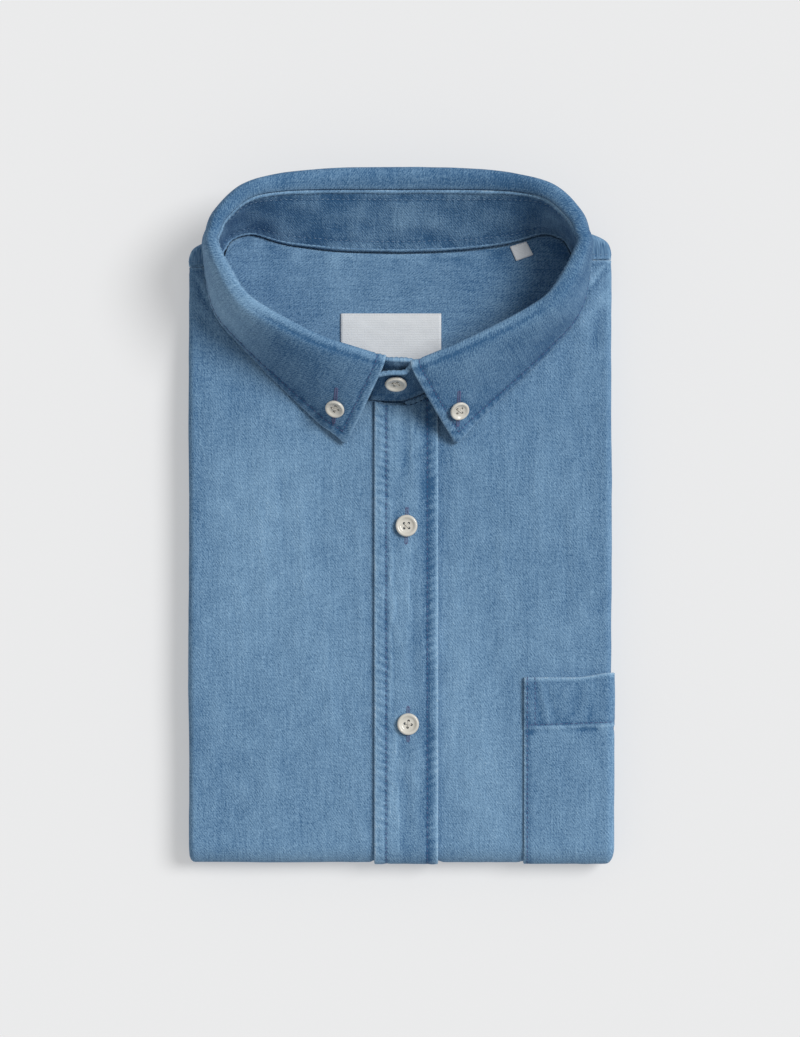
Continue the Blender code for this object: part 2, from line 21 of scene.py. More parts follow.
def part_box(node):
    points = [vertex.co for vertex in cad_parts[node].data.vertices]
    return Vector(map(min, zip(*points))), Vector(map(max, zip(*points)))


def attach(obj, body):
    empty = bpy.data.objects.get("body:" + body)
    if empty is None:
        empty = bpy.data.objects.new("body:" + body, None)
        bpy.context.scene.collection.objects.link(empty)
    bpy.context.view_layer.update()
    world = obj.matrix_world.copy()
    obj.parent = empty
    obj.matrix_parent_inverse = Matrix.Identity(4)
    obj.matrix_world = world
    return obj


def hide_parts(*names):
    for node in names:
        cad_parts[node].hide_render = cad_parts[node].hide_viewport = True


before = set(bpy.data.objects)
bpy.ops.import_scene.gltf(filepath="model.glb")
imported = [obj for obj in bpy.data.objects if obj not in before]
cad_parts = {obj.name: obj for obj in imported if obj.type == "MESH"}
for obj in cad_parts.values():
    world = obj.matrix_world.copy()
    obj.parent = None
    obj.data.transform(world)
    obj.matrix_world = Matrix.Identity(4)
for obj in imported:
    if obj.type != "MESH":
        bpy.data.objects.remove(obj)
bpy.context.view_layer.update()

MM = 0.001
BODY = "root"

# %% Where the plan lies in the model
# The tables put the lower fold and the right side at these places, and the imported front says
# where they really are.
HALF_WIDTH = 110.0
LOWER_FOLD = -180.7
front_low = np.array(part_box("front_right")[0]) / MM
SHIFT = np.array([front_low[0] + HALF_WIDTH, front_low[1] - LOWER_FOLD, 0.0])
print("plan to model, mm:", SHIFT.round(3))


def in_metres(points):
    """Plan points in millimetres as model points in metres."""
    return (np.asarray(points, float) + SHIFT) * MM


# %% [markdown]
# ## The camera, the floor and the light
#
# The shirt is seen from straight above and from 2 m away, so that nothing leans. It could be lit
# from all round, but folded cloth is read by its shading. So one soft sun comes from the wearer's
# left and a little from behind the collar, and an even white sky fills the shadows. The floor is
# plain pale paper.

# %% Camera
CAMERA_HEIGHT = 2.0
PLAN_CENTRE = (0.0, -1.3)
VIEW_HEIGHT = 0.53924
BODY_TOP = 18.0 * MM
SENSOR = 36.0

camera_data = bpy.data.cameras.new("camera_above")
camera_data.sensor_fit = "VERTICAL"
camera_data.sensor_height = SENSOR
camera_data.lens = SENSOR * (CAMERA_HEIGHT - BODY_TOP) / VIEW_HEIGHT
camera = bpy.data.objects.new("camera_above", camera_data)
camera.location = (
    PLAN_CENTRE[0] * MM + SHIFT[0] * MM,
    PLAN_CENTRE[1] * MM + SHIFT[1] * MM,
    CAMERA_HEIGHT,
)
bpy.context.collection.objects.link(camera)
bpy.context.scene.camera = camera
bpy.context.scene.view_settings.view_transform = "Standard"
print("lens, mm:", round(camera_data.lens, 1))

# %% Light
SUN_FROM = Vector((0.80, 0.40, 1.02))
SUN_STRENGTH = 2.45
SUN_SPREAD = math.radians(26)
SKY_STRENGTH = 0.42

sun_data = bpy.data.lights.new("soft_sun", "SUN")
sun_data.energy = SUN_STRENGTH
sun_data.angle = SUN_SPREAD
sun = bpy.data.objects.new("soft_sun", sun_data)
sun.rotation_euler = SUN_FROM.to_track_quat("Z", "Y").to_euler()
bpy.context.collection.objects.link(sun)
sky = bpy.data.worlds.new("white_sky")
sky.use_nodes = True
sky.node_tree.nodes["Background"].inputs["Color"].default_value = (0.97, 0.985, 1.0, 1.0)
sky.node_tree.nodes["Background"].inputs["Strength"].default_value = SKY_STRENGTH
bpy.context.scene.world = sky
print("sun from", [round(v, 2) for v in SUN_FROM.normalized()])

# %% [markdown]
# ## Writing materials as sums
#
# A cloth's colour is a sum of small effects, and a long list of nodes and links hides it. So a
# Wire stands for the output of a node, and adding or multiplying Wires adds the Math nodes. A
# Recipe is one material: its add method makes any node from its type, its settings and the
# values or Wires of its sockets.


# %% Wire and Recipe
class Wire:
    """The output of a node, for use in sums with numbers and other Wires."""

    def __init__(self, recipe, socket):
        self.recipe, self.socket = recipe, socket

    def maths(self, operation, *values):
        sockets = dict(enumerate(values))
        return self.recipe.add("ShaderNodeMath", {"operation": operation}, sockets)

    def __add__(self, other):
        return self.maths("ADD", self, other)

    __radd__ = __add__

    def __sub__(self, other):
        return self.maths("SUBTRACT", self, other)

    def __rsub__(self, other):
        return self.maths("SUBTRACT", other, self)

    def __mul__(self, other):
        return self.maths("MULTIPLY", self, other)

    __rmul__ = __mul__

    def limited(self, low=0.0, high=1.0):
        return self.maths("MINIMUM", self.maths("MAXIMUM", self, low), high)

    def sine(self):
        return self.maths("SINE", self)

    def stepped(self, low, high):
        """0 up to low, 1 from high, and smooth in between."""
        sockets = {"Value": self, "From Min": low, "From Max": high}
        settings = {"interpolation_type": "SMOOTHSTEP"}
        return self.recipe.add("ShaderNodeMapRange", settings, sockets)


class Recipe:
    """One material, with the shader's sockets set at the end by finish."""

    def __init__(self, name):
        self.material = bpy.data.materials.new(name)
        self.material.use_nodes = True
        self.nodes = self.material.node_tree.nodes
        self.links = self.material.node_tree.links

    def add(self, kind, settings=None, sockets=None, output=0):
        node = self.nodes.new(kind)
        for name, value in (settings or {}).items():
            setattr(node, name, value)
        for name, value in (sockets or {}).items():
            self.fill(node.inputs[name], value)
        return Wire(self, node.outputs[output])

    def fill(self, socket, value):
        if isinstance(value, Wire):
            self.links.new(value.socket, socket)
        else:
            socket.default_value = value

    def colour(self, factor, first, second):
        """The colour that goes from first to second as factor goes from 0 to 1."""
        sockets = {0: factor, 6: first, 7: second}
        return self.add("ShaderNodeMix", {"data_type": "RGBA"}, sockets, output=2)

    def bump(self, height_mm, strength=1.0):
        sockets = {"Height": height_mm, "Distance": MM, "Strength": strength}
        return self.add("ShaderNodeBump", None, sockets)

    def finish(self, sockets):
        shader = self.nodes["Principled BSDF"]
        for name, value in sockets.items():
            self.fill(shader.inputs[name], value)
        return self.material


def space_noise(recipe, size, detail, gain=3.0):
    """Smooth noise in space in cells of size millimetres, from about -1 to 1."""
    place = recipe.add("ShaderNodeTexCoord", output="Object")
    sockets = {"Vector": place, "Scale": 1 / (size * MM), "Detail": detail}
    return (recipe.add("ShaderNodeTexNoise", None, sockets) - 0.5) * gain


print("one Math node for each operator")

# %% [markdown]
# ## Washed denim
#
# Denim is a twill: each dark blue warp thread passes over two or three pale weft threads, one
# step on in each row, which draws fine diagonal lines. The warp is spun unevenly, so there are
# long streaks along it, and washing bares the white core wherever the cloth stands proud, and
# leaves the dye beside each seam. Flat images of cloth could be laid on, but they repeat and
# stretch. Here the grain is worked out from each piece's own map, called cloth, which is in
# metres along the threads. A number on the mesh, called wear, says how much is washed out; on
# the fronts, the inner yoke and the collar leaf it also carries painted shadow, painted shade and
# a painted highlight. A darker copy of the denim paints shade on the pieces inside the collar
# and the fold.

# %% Denim
INDIGO = (0.038, 0.112, 0.232, 1.0)
FADED = (0.240, 0.402, 0.575, 1.0)
BARE_THREAD = (0.55, 0.64, 0.70, 1.0)
TWILL_PITCH = 1.15
TWILL_LEAN = (0.82, 0.57)
TWILL_ANGLE = math.atan2(TWILL_LEAN[1], TWILL_LEAN[0])


def thread_map(recipe, across, along, offset):
    """The cloth map in cells of across by along millimetres, moved by an offset."""
    cloth = recipe.add("ShaderNodeUVMap", {"uv_map": "cloth"})
    settings = {"operation": "MULTIPLY_ADD"}
    scale = (1 / (across * MM), 1 / (along * MM), 0.0)
    return recipe.add("ShaderNodeVectorMath", settings, {0: cloth, 1: scale, 2: offset})


def cloth_noise(recipe, place, detail, roughness):
    """Smooth noise over a place on the cloth map, from about -1 to 1."""
    sockets = {"Vector": place, "Scale": 1.0, "Detail": detail, "Roughness": roughness}
    return (recipe.add("ShaderNodeTexNoise", {"noise_dimensions": "2D"}, sockets) - 0.5) * 3.2


def mottle(recipe, across, along, offset, detail=2.0):
    """Noise in cells of across by along millimetres, moved by an offset."""
    place = thread_map(recipe, across, along, (offset, offset * 1.7, 0.0))
    return cloth_noise(recipe, place, detail, 0.55)


def slanted(recipe, across, along, offset):
    """Noise drawn out along the twill's diagonal."""
    cloth = recipe.add("ShaderNodeUVMap", {"uv_map": "cloth"})
    sockets = {
        "Vector": cloth,
        "Location": (offset * MM, offset * MM, 0.0),
        "Rotation": (0.0, 0.0, TWILL_ANGLE),
        "Scale": (across * MM, along * MM, 1.0),
    }
    place = recipe.add("ShaderNodeMapping", {"vector_type": "TEXTURE"}, sockets)
    return cloth_noise(recipe, place, 2.0, 0.6)


def denim(name, fade):
    """Washed denim: twill, slubs, clouds and flecks, bared by the mesh's wear, which on some pieces also
    carries painted shade and light.
    """
    recipe = Recipe(name)
    lean = (TWILL_LEAN[0] * 2 * math.pi / TWILL_PITCH, TWILL_LEAN[1] * 2 * math.pi / TWILL_PITCH)
    cloth = thread_map(recipe, 1.0, 1.0, (0.0, 0.0, 0.0))
    dot = {0: cloth, 1: (*lean, 0.0)}
    phase = recipe.add("ShaderNodeVectorMath", {"operation": "DOT_PRODUCT"}, dot, output="Value")
    wander = mottle(recipe, 2.2, 2.8, 3.1, 2.0)
    twill = (phase + wander * 2.1).sine()
    grain = slanted(recipe, 0.62, 2.0, 9.0)
    slub = mottle(recipe, 0.75, 13.0, 11.3)
    slub_wide = mottle(recipe, 2.4, 45.0, 47.0, 1.0)
    weft = mottle(recipe, 9.0, 0.8, 23.7)
    speckle = mottle(recipe, 0.7, 0.7, 5.9, 3.0)
    cloud = mottle(recipe, 9.0, 12.0, 31.1, 2.0)
    fade_cloud = mottle(recipe, 60.0, 90.0, 71.9, 1.0)
    fleck = mottle(recipe, 0.55, 1.0, 61.7, 0.0).stepped(1.0, 1.45)
    wear = recipe.add("ShaderNodeAttribute", {"attribute_name": "wear"}, output="Fac")
    tone = 0.5 + fade + 0.06 * twill + 0.30 * grain + 0.13 * slub + 0.06 * slub_wide
    tone = tone + 0.09 * weft + 0.36 * speckle + 0.10 * cloud + 0.06 * fade_cloud + 0.62 * wear
    base = recipe.colour(tone.limited(), INDIGO, FADED)
    bared = (0.36 * fleck + (tone - 0.95) * 0.8).limited(0.0, 0.85)
    height = 0.03 * twill + 0.07 * grain + 0.03 * slub + 0.03 * weft + 0.06 * speckle + 0.06 * cloud
    sockets = {
        "Base Color": recipe.colour(bared, base, BARE_THREAD),
        "Roughness": (0.86 - 0.06 * twill).limited(0.6, 1.0),
        "Normal": recipe.bump(height),
        "Sheen Weight": 0.03,
        "Sheen Roughness": 0.5,
        "Specular IOR Level": 0.08,
    }
    return recipe.finish(sockets)


DENIM = denim("washed denim", 0.02)
# A darker copy of the denim, painted shade for the inner yoke, the stand and the folded back, which lie in
# the collar's and the fold's shadow.
DENIM_SHADE = denim("washed denim in painted shade", -0.10)
print("denim materials:", DENIM.name, "and", DENIM_SHADE.name)

# %% [markdown]
# ## Cloth as a closed wall
#
# A ply of cloth could be a single sheet of faces with a Solidify modifier, but its seams, puckers
# and folds would then be hard to place. Here each piece is a grid of points worked out from two
# measures, across and along. The outer face is the grid, the inner face is the same grid moved
# in, and a third row round the rim bulges a little, so that every edge is soft.


# %% Grids and walls
def spread(first, *legs):
    """Places from first through each leg's end, at most that leg's step apart."""
    places = [first]
    for end, step in legs:
        count = max(math.ceil(abs(end - places[-1]) / step), 1)
        places += list(np.linspace(places[-1], end, count + 1)[1:])
    return np.array(places)


def normals_of(grid):
    """The unit normal at each point of a grid."""
    normal = np.cross(np.gradient(grid, axis=1), np.gradient(grid, axis=0))
    return normal / np.maximum(np.linalg.norm(normal, axis=2, keepdims=True), 1e-9)


def rim_of(rows, columns):
    """The grid's border as (row, column), once round."""
    border = [(0, column) for column in range(columns - 1)]
    border += [(row, columns - 1) for row in range(rows - 1)]
    border += [(rows - 1, column) for column in range(columns - 1, 0, -1)]
    border += [(row, 0) for row in range(rows - 1, 0, -1)]
    return np.array(border)


def arc_lengths(grid, axis):
    """The length of each of a grid's lines along an axis."""
    return np.linalg.norm(np.diff(grid, axis=axis), axis=2).sum(axis=axis)


def lengths_along(line):
    """How far each point of a line, or of each row of a grid, lies from the first."""
    steps = np.linalg.norm(np.diff(line, axis=-2), axis=-1)
    start = np.zeros((*steps.shape[:-1], 1))
    return np.concatenate([start, np.cumsum(steps, axis=-1)], axis=-1)


def add_mesh(name, points, faces, finish, smooth=True):
    """A mesh object in metres from plan points in millimetres, with its faces turned outwards."""
    mesh = bpy.data.meshes.new(name)
    mesh.from_pydata(in_metres(points), [], faces)
    mesh.update()
    corners = np.array([face[:3] for face in faces])
    first, second, third = (np.asarray(points)[corners[:, i]] for i in range(3))
    if np.einsum("ij,ij->i", first, np.cross(second, third)).sum() < 0:
        mesh.flip_normals()
    if smooth:
        mesh.shade_smooth()
    mesh.materials.append(finish)
    obj = bpy.data.objects.new(name, mesh)
    bpy.context.collection.objects.link(obj)
    return obj


def add_maps(obj, across, along, wear):
    """Writes the cloth map, in metres along the threads, and the wear of each point, with any painted shade
    and light in it.
    """
    mesh = obj.data
    index = np.empty(len(mesh.loops), int)
    mesh.loops.foreach_get("vertex_index", index)
    cloth = np.column_stack([across, along])[index] * MM
    mesh.uv_layers.new(name="cloth").data.foreach_set("uv", cloth.ravel())
    layer = mesh.attributes.new("wear", "FLOAT", "POINT")
    layer.data.foreach_set("value", np.asarray(wear, np.float32))


def cloth_wall(name, outer, inner, across, along, wear, finish, bulge=0.25):
    """A closed ply between two grids, with its map, its wear and a rounded rim."""
    rows, columns = outer.shape[:2]
    border = rim_of(rows, columns)
    rim_outer, rim_inner = outer[border[:, 0], border[:, 1]], inner[border[:, 0], border[:, 1]]
    middle = (rim_outer + rim_inner) / 2
    within = np.clip(border, 1, [rows - 2, columns - 2])
    away = middle - (outer + inner)[within[:, 0], within[:, 1]] / 2
    away /= np.maximum(np.linalg.norm(away, axis=1, keepdims=True), 1e-9)
    middle = middle + away * bulge
    points = np.concatenate([outer.reshape(-1, 3), inner.reshape(-1, 3), middle])
    row, column = np.mgrid[: rows - 1, : columns - 1]
    corner = (row * columns + column).ravel()
    quads = np.column_stack([corner, corner + 1, corner + columns + 1, corner + columns])
    size = rows * columns
    place = border[:, 0] * columns + border[:, 1]
    after = np.roll(place, -1)
    rim = 2 * size + np.arange(len(border))
    rim_after = np.roll(rim, -1)
    faces = [quads, quads[:, ::-1] + size]
    faces.append(np.column_stack([after, place, rim, rim_after]))
    faces.append(np.column_stack([rim_after, rim, place + size, after + size]))
    obj = add_mesh(name, points, np.concatenate(faces).tolist(), finish)
    both = [np.tile(np.asarray(values, float).ravel(), 2) for values in (across, along, wear)]
    rims = [values[: size][place] for values in both]
    add_maps(obj, *(np.concatenate(pair) for pair in zip(both, rims)))
    return obj


print("a wall has", len(rim_of(3, 3)), "rim points on a 3 by 3 grid")

# %% [markdown]
# ## Rumples, seams and wear
#
# Pressed denim isn't flat. It keeps low, long rumples from the wash, and each row of stitches
# draws the cloth in, so that the strip between the stitches and the edge puckers. A cloth
# simulation makes folds, but not these small, stiff marks, so they are written as heights:
# seeded noise for the rumples, and for each seam a shallow trench, a raised edge and ripples.
# The same heights drive the wear, because the wash bares what stands proud.


# %% Noise and marks
def hills(x, y, size_x, size_y, seed):
    """Smooth noise from -1 to 1 over a plane, with about one hill for each size."""
    cells = 64
    heights = np.random.default_rng(seed).uniform(-1, 1, (cells, cells))
    u, v = np.asarray(x, float) / size_x + seed * 7.3, np.asarray(y, float) / size_y + seed * 3.1
    u0, v0 = np.floor(u).astype(int), np.floor(v).astype(int)
    fu, fv = u - u0, v - v0
    fu, fv = fu**3 * (fu * (fu * 6 - 15) + 10), fv**3 * (fv * (fv * 6 - 15) + 10)
    u0, v0, u1, v1 = u0 % cells, v0 % cells, (u0 + 1) % cells, (v0 + 1) % cells
    low = heights[u0, v0] * (1 - fu) + heights[u1, v0] * fu
    high = heights[u0, v1] * (1 - fu) + heights[u1, v1] * fu
    return low * (1 - fv) + high * fv


def bell(distance, width):
    """1 at no distance, about a third at the width, and smoothly down to 0."""
    return np.exp(-((distance / width) ** 2))


def ease(value):
    """0 up to 0, 1 from 1, and smooth in between."""
    value = np.clip(value, 0.0, 1.0)
    return value * value * (3 - 2 * value)


PUCKER_PITCH = 4.6


def seam_marks(inset, along, edge, seed, pull=1.0):
    """Height and wear beside an edge whose stitches lie edge millimetres in."""
    trench = -0.36 * bell(inset - edge, 0.8)
    lip = 0.18 * bell(inset - edge * 0.42, edge * 0.34)
    wander = hills(along, inset, 12.0, 9.0, seed + 2)
    puckers = np.sin((along + 0.5 * inset) * 2 * math.pi / PUCKER_PITCH + 2.6 * wander)
    uneven = 0.75 + 0.5 * hills(along, inset, 15.0, 9.0, seed)
    ripple = 0.75 * puckers * uneven + 0.5 * hills(along, inset, 8.5, 6.0, seed + 1)
    strip = bell(np.maximum(np.abs(inset - edge * 0.7) - edge * 0.25, 0), edge * 0.45)
    height = pull * (trench + lip + 0.34 * ripple * strip)
    wear = 0.90 * bell(inset, 1.0) - 0.60 * bell(inset - edge, 0.85)
    wear = wear + 0.44 * ripple * strip + 0.06 * bell(inset - edge * 0.45, edge * 0.3)
    return height, pull * wear


Crease = namedtuple("Crease", "x y to_x to_y width height")


def crease_marks(x, y, creases):
    """Height and wear of listed creases, each a soft ridge that dies out at its ends."""
    height = np.zeros(np.broadcast(x, y).shape)
    for crease in creases:
        run = np.array([crease.to_x - crease.x, crease.to_y - crease.y], float)
        length = np.linalg.norm(run)
        run /= length
        ahead = ((x - crease.x) * run[0] + (y - crease.y) * run[1]) / length
        aside = (x - crease.x) * -run[1] + (y - crease.y) * run[0]
        ends = ease(ahead * 4) * ease((1 - ahead) * 4)
        height = height + crease.height * bell(aside, crease.width) * ends
    return height, 0.45 * height


def rumples(x, y, seed):
    """The low rumples of a pressed panel, longer along the warp than across it."""
    long_ones = 0.34 * hills(x + 0.12 * y, y, 26.0, 70.0, seed)
    middling = 0.20 * hills(x - 0.2 * y, y, 11.0, 30.0, seed + 1)
    small = 0.10 * hills(x + 0.3 * y, y - 0.2 * x, 5.0, 11.0, seed + 2)
    return long_ones + middling + small


sample = rumples(*np.meshgrid(np.arange(100.0), np.arange(300.0)), 3)
print("rumples, mm:", round(float(sample.min()), 2), "to", round(float(sample.max()), 2))

# %% [markdown]
# ## The folded body
#
# The upper layer holds the chest. At the lower edge the cloth turns under in a half circle and
# runs back beneath as a second layer, and at each side it turns in. Every piece of the body is
# placed by three measures: the run along that turned path, the place across it and the depth
# below its outer face. So the placket and the pocket wrap the folds with the fronts, because
# they are made from the same path, only at a negative depth.

# %% The body's path
BODY_HEIGHT = 18.6
LAYER_SPLIT = 9.7
UNDER_LAYER = 8.9
SIDE_ROUND = 3.0
SIDE_TURN = 12.0
TAIL_END = 128.0
TAIL_PANEL_END = 118.0
GAP = 0.3
CLOTH = 1.2
TOP_Y = (-190, 30, 60, 100, 130, 170)
TOP_Z = (BODY_HEIGHT, 18.7, 18.2, 16.2, 14.4, 14.2)
FLAT_HALF = HALF_WIDTH - SIDE_ROUND
FOLD_RADIUS = BODY_HEIGHT / 2
FOLD_START = LOWER_FOLD + FOLD_RADIUS
FOLD_LENGTH = math.pi * FOLD_RADIUS

PLACKET_LEFT, PLACKET_RIGHT, PLACKET_CLOTH = -13.2, 19.6, 1.6
FRONTS_MEET = 16.0
POCKET_INNER_X, POCKET_TOP_INNER, POCKET_TOP_OUTER = 64.6, -84.0, -81.6
POCKET_UNDER, POCKET_WRAP = 12.0, 1.45
SHOULDER_SEAM = {-1: 129.7, 1: 133.4}


def top_height(y):
    """The height of the folded body's upper face."""
    return np.interp(y, TOP_Y, TOP_Z)


def run_of(y):
    """The run of a place on the upper layer."""
    return FOLD_START - y


def run_under(y):
    """The run of a place on the layer beneath."""
    return FOLD_LENGTH + y - FOLD_START


def across_of(x):
    """The place across of a distance from the centre."""
    return x / FLAT_HALF


def between(value, low, high, width):
    """1 from low to high, and smoothly down to 0 outside them."""
    return ease((value - low) / width + 1) * ease((high - value) / width + 1)


def recess(run, side, across):
    """How far the placket and the pocket press the cloth in where the shirt lies on them."""
    x = side * across * FLAT_HALF
    placket = between(x, PLACKET_LEFT - GAP, PLACKET_RIGHT + GAP, 2.4) * (across < 1)
    pocket = between(across, across_of(POCKET_INNER_X) - 0.004, POCKET_WRAP, 0.03)
    pocket = pocket * between(run, -1e3, FOLD_LENGTH + POCKET_UNDER + GAP, 4.0) * (side > 0)
    turned = ease(run / FOLD_LENGTH)
    return turned * np.maximum((PLACKET_CLOTH + GAP) * placket, (CLOTH + GAP) * pocket)


def body_points(run, side, across, depth):
    """Points of the folded body: side is 1 for the wearer's left and -1 for the right."""
    depth = depth + recess(run, side, across)
    thickness = np.where(run < 0, top_height(FOLD_START - run) - LAYER_SPLIT, UNDER_LAYER)
    angle = np.clip(across - 1, 0, 1) * math.pi
    half = thickness / 2
    round_x = FLAT_HALF + (SIDE_ROUND - depth) * np.sin(angle)
    turned_x = FLAT_HALF - (across - 2) * SIDE_TURN
    x = np.where(across <= 1, across * FLAT_HALF, np.where(across <= 2, round_x, turned_x))
    round_depth = half - (half - depth) * np.cos(angle)
    below = np.where(across <= 1, depth, np.where(across <= 2, round_depth, thickness - depth))
    turn = np.clip(run / FOLD_RADIUS, 0, math.pi)
    reach = FOLD_RADIUS - below
    on_top, beneath = run <= 0, run >= FOLD_LENGTH
    fold_y, fold_z = FOLD_START - reach * np.sin(turn), FOLD_RADIUS + reach * np.cos(turn)
    y = np.where(on_top, FOLD_START - run, np.where(beneath, run_under_y(run), fold_y))
    z = np.where(on_top, top_height(FOLD_START - run) - below, np.where(beneath, below, fold_z))
    return np.stack(np.broadcast_arrays(side * x, y, z), axis=-1)


def run_under_y(run):
    """The y of a run on the layer beneath."""
    return FOLD_START + run - FOLD_LENGTH


print("lower fold, mm along it:", round(FOLD_LENGTH, 1))

# %% [markdown]
# ## The collar's ring
#
# The buttoned collar is a ring that stands on the body. Its shape changes from the wearer's back,
# where it leans away and rolls softly, to the two tips, so it is a table of sections round one
# half, read on a smooth curve. The stand is straight from its seam to its top, with a slight
# bow, and the leaf is two Bezier curves: up over the roll, then down to its edge.

# %% The ring's sections
COLLAR_CENTRE = -1.3
STAND_CLOTH, LEAF_CLOTH = 1.8, 1.6
LAP_SPREAD, CREST_RISE, NECK_CLEAR, LEAF_LIFT, TIP_SHIFT = 1.8, 3.0, 1.5, 1.1, 1.8
INNER_YOKE_TOP = 12.5
LEAF_END = 11
NECK_REACH = 93.0

# Each row: seam x y, top x y, stand height, roll, belly, edge x y z, lap.
COLLAR = [
    (0.0, 137.9, 0.0, 168.3, 36.0, 7.0, 11.0, 0.0, 159.4, 1.2, 0.0),
    (31.3, 139.0, 32.0, 168.2, 36.0, 6.3, 11.0, 32.5, 158.9, 1.2, 0.0),
    (57.4, 142.4, 59.2, 167.0, 36.0, 5.7, 9.0, 59.3, 158.0, 1.4, 0.0),
    (75.6, 147.6, 76.0, 163.1, 35.5, 5.5, 6.0, 77.8, 156.4, 2.4, 0.0),
    (86.5, 144.9, 87.6, 153.1, 35.0, 4.4, 4.0, 92.0, 153.4, 9.5, 0.0),
    (90.6, 139.4, 91.2, 146.0, 35.0, 3.4, 3.5, 97.6, 144.8, 16.2, 0.0),
    (91.7, 134.4, 92.1, 138.2, 34.5, 3.2, 3.2, 100.0, 135.4, 16.2, 0.0),
    (85.4, 114.5, 80.4, 116.7, 34.0, 4.2, 3.6, 95.7, 107.7, 16.9, 0.0),
    (73.9, 98.9, 67.6, 106.2, 33.0, 4.4, 4.0, 81.1, 88.4, 18.1, 0.0),
    (43.7, 80.1, 41.0, 92.2, 32.0, 3.8, 4.0, 57.2, 64.4, 19.2, 0.0),
    (20.8, 69.2, 20.5, 84.1, 31.0, 3.1, 3.4, 40.5, 48.3, 19.8, 0.6),
    (6.2, 62.9, 6.5, 79.6, 30.0, 2.2, 1.5, 28.8, 36.9, 20.1, 1.0),
    (-5.0, 62.0, -4.6, 78.9, 29.6, 2.2, 1.5, 0.0, 0.0, 0.0, 1.0),
    (-14.0, 62.6, -12.6, 77.4, 26.0, 2.2, 1.5, 0.0, 0.0, 0.0, 1.0),
]


def along(rows, places):
    """Reads a table at fractional rows, on a smooth curve through its rows."""
    rows, places = np.array(rows, float), np.asarray(places, float)
    first = np.minimum(places.astype(int), len(rows) - 2)
    part = (places - first)[:, None]
    steps = [np.clip(first + step, 0, len(rows) - 1) for step in (-1, 0, 1, 2)]
    before, here, there, after = (rows[step] for step in steps)
    square, cube = part**2, part**3
    bend = (there - before) / 2 * (cube - 2 * square + part) + (after - here) / 2 * (cube - square)
    return here * (2 * cube - 3 * square + 1) + there * (3 * square - 2 * cube) + bend


def ring_half(places, side):
    """The seam, top, edge and directions of the collar at fractional sections of one half."""
    here = along(COLLAR, places)
    ahead = along(COLLAR, np.minimum(places + 0.05, len(COLLAR) - 1))
    behind = along(COLLAR, np.maximum(places - 0.05, 0.0))
    run = (ahead - behind)[:, 0:2] + (ahead - behind)[:, 2:4]
    length = np.linalg.norm(run, axis=1)
    zero = np.zeros(len(places))
    outward = np.column_stack([-run[:, 1] / length, run[:, 0] / length, zero])
    seam_z = INNER_YOKE_TOP + (top_height(here[:, 1]) + 0.4 - INNER_YOKE_TOP) * ease((places - 3) / 3)
    seam = np.column_stack([here[:, 0:2], seam_z])
    lean = np.linalg.norm(here[:, 2:4] - here[:, 0:2], axis=1)
    top = np.column_stack([here[:, 2:4], seam_z + np.sqrt(here[:, 4] ** 2 - lean**2)])
    rise = (top - seam) / here[:, 4:5]
    face = np.cross(np.column_stack([-outward[:, 1], outward[:, 0], zero]), rise)
    face *= np.copysign(1.0, np.einsum("ij,ij->i", face, outward) + 1e-9)[:, None]
    shift = face * (LAP_SPREAD * here[:, 10] * side)[:, None]
    mirror, centre = np.array([side, 1.0, 1.0]), np.array([COLLAR_CENTRE, 0.0, 0.0])
    tip = np.column_stack([TIP_SHIFT * ease(places - (LEAF_END - 1)), zero, zero])
    return {
        "seam": (seam + shift) * mirror + centre,
        "top": (top + shift) * mirror + centre,
        "edge": here[:, 7:10] * mirror + centre + tip,
        "out": outward * mirror,
        "rise": rise * mirror,
        "roll": here[:, 5:6],
        "belly": here[:, 6:7],
    }


def collar_ring(last, step):
    """The whole ring from the wearer's right end round the back to the left, evenly spaced."""
    fine = np.linspace(0, last, 400)
    rows = along(COLLAR, fine)
    strides = np.linalg.norm(np.diff(rows[:, [2, 3, 7, 8]], axis=0), axis=1) * 0.75
    if last > LEAF_END:
        strides = np.linalg.norm(np.diff(rows[:, 2:4], axis=0), axis=1)
    length = np.concatenate([[0], np.cumsum(strides)])
    places = np.interp(np.linspace(0, length[-1], math.ceil(length[-1] / step)), length, fine)
    right, left = ring_half(places[::-1], -1), ring_half(places[1:], 1)
    return {name: np.concatenate([right[name], left[name]]) for name in right}


def bezier(controls, parts):
    """Points at these parts of a Bezier curve, for every row of its control points at once."""
    degree = len(controls) - 1
    points = 0
    for order, control in enumerate(controls):
        weight = math.comb(degree, order) * parts**order * (1 - parts) ** (degree - order)
        points = points + weight[None, :, None] * control[:, None, :]
    return points


def neckline(x):
    """The y of the fronts' cut neck edge at a distance from the collar's centre."""
    rows = ring_half(np.linspace(6, len(COLLAR) - 3, 50), 1)
    xs = rows["seam"][:, 0] - COLLAR_CENTRE
    ys = rows["seam"][:, 1] - NECK_CLEAR * (1 + np.abs(rows["out"][:, 1]))
    return np.interp(x, xs[::-1], ys[::-1])


print("neckline at the centre and 80 mm out:", neckline(np.array([0, 80.0])).round(1))
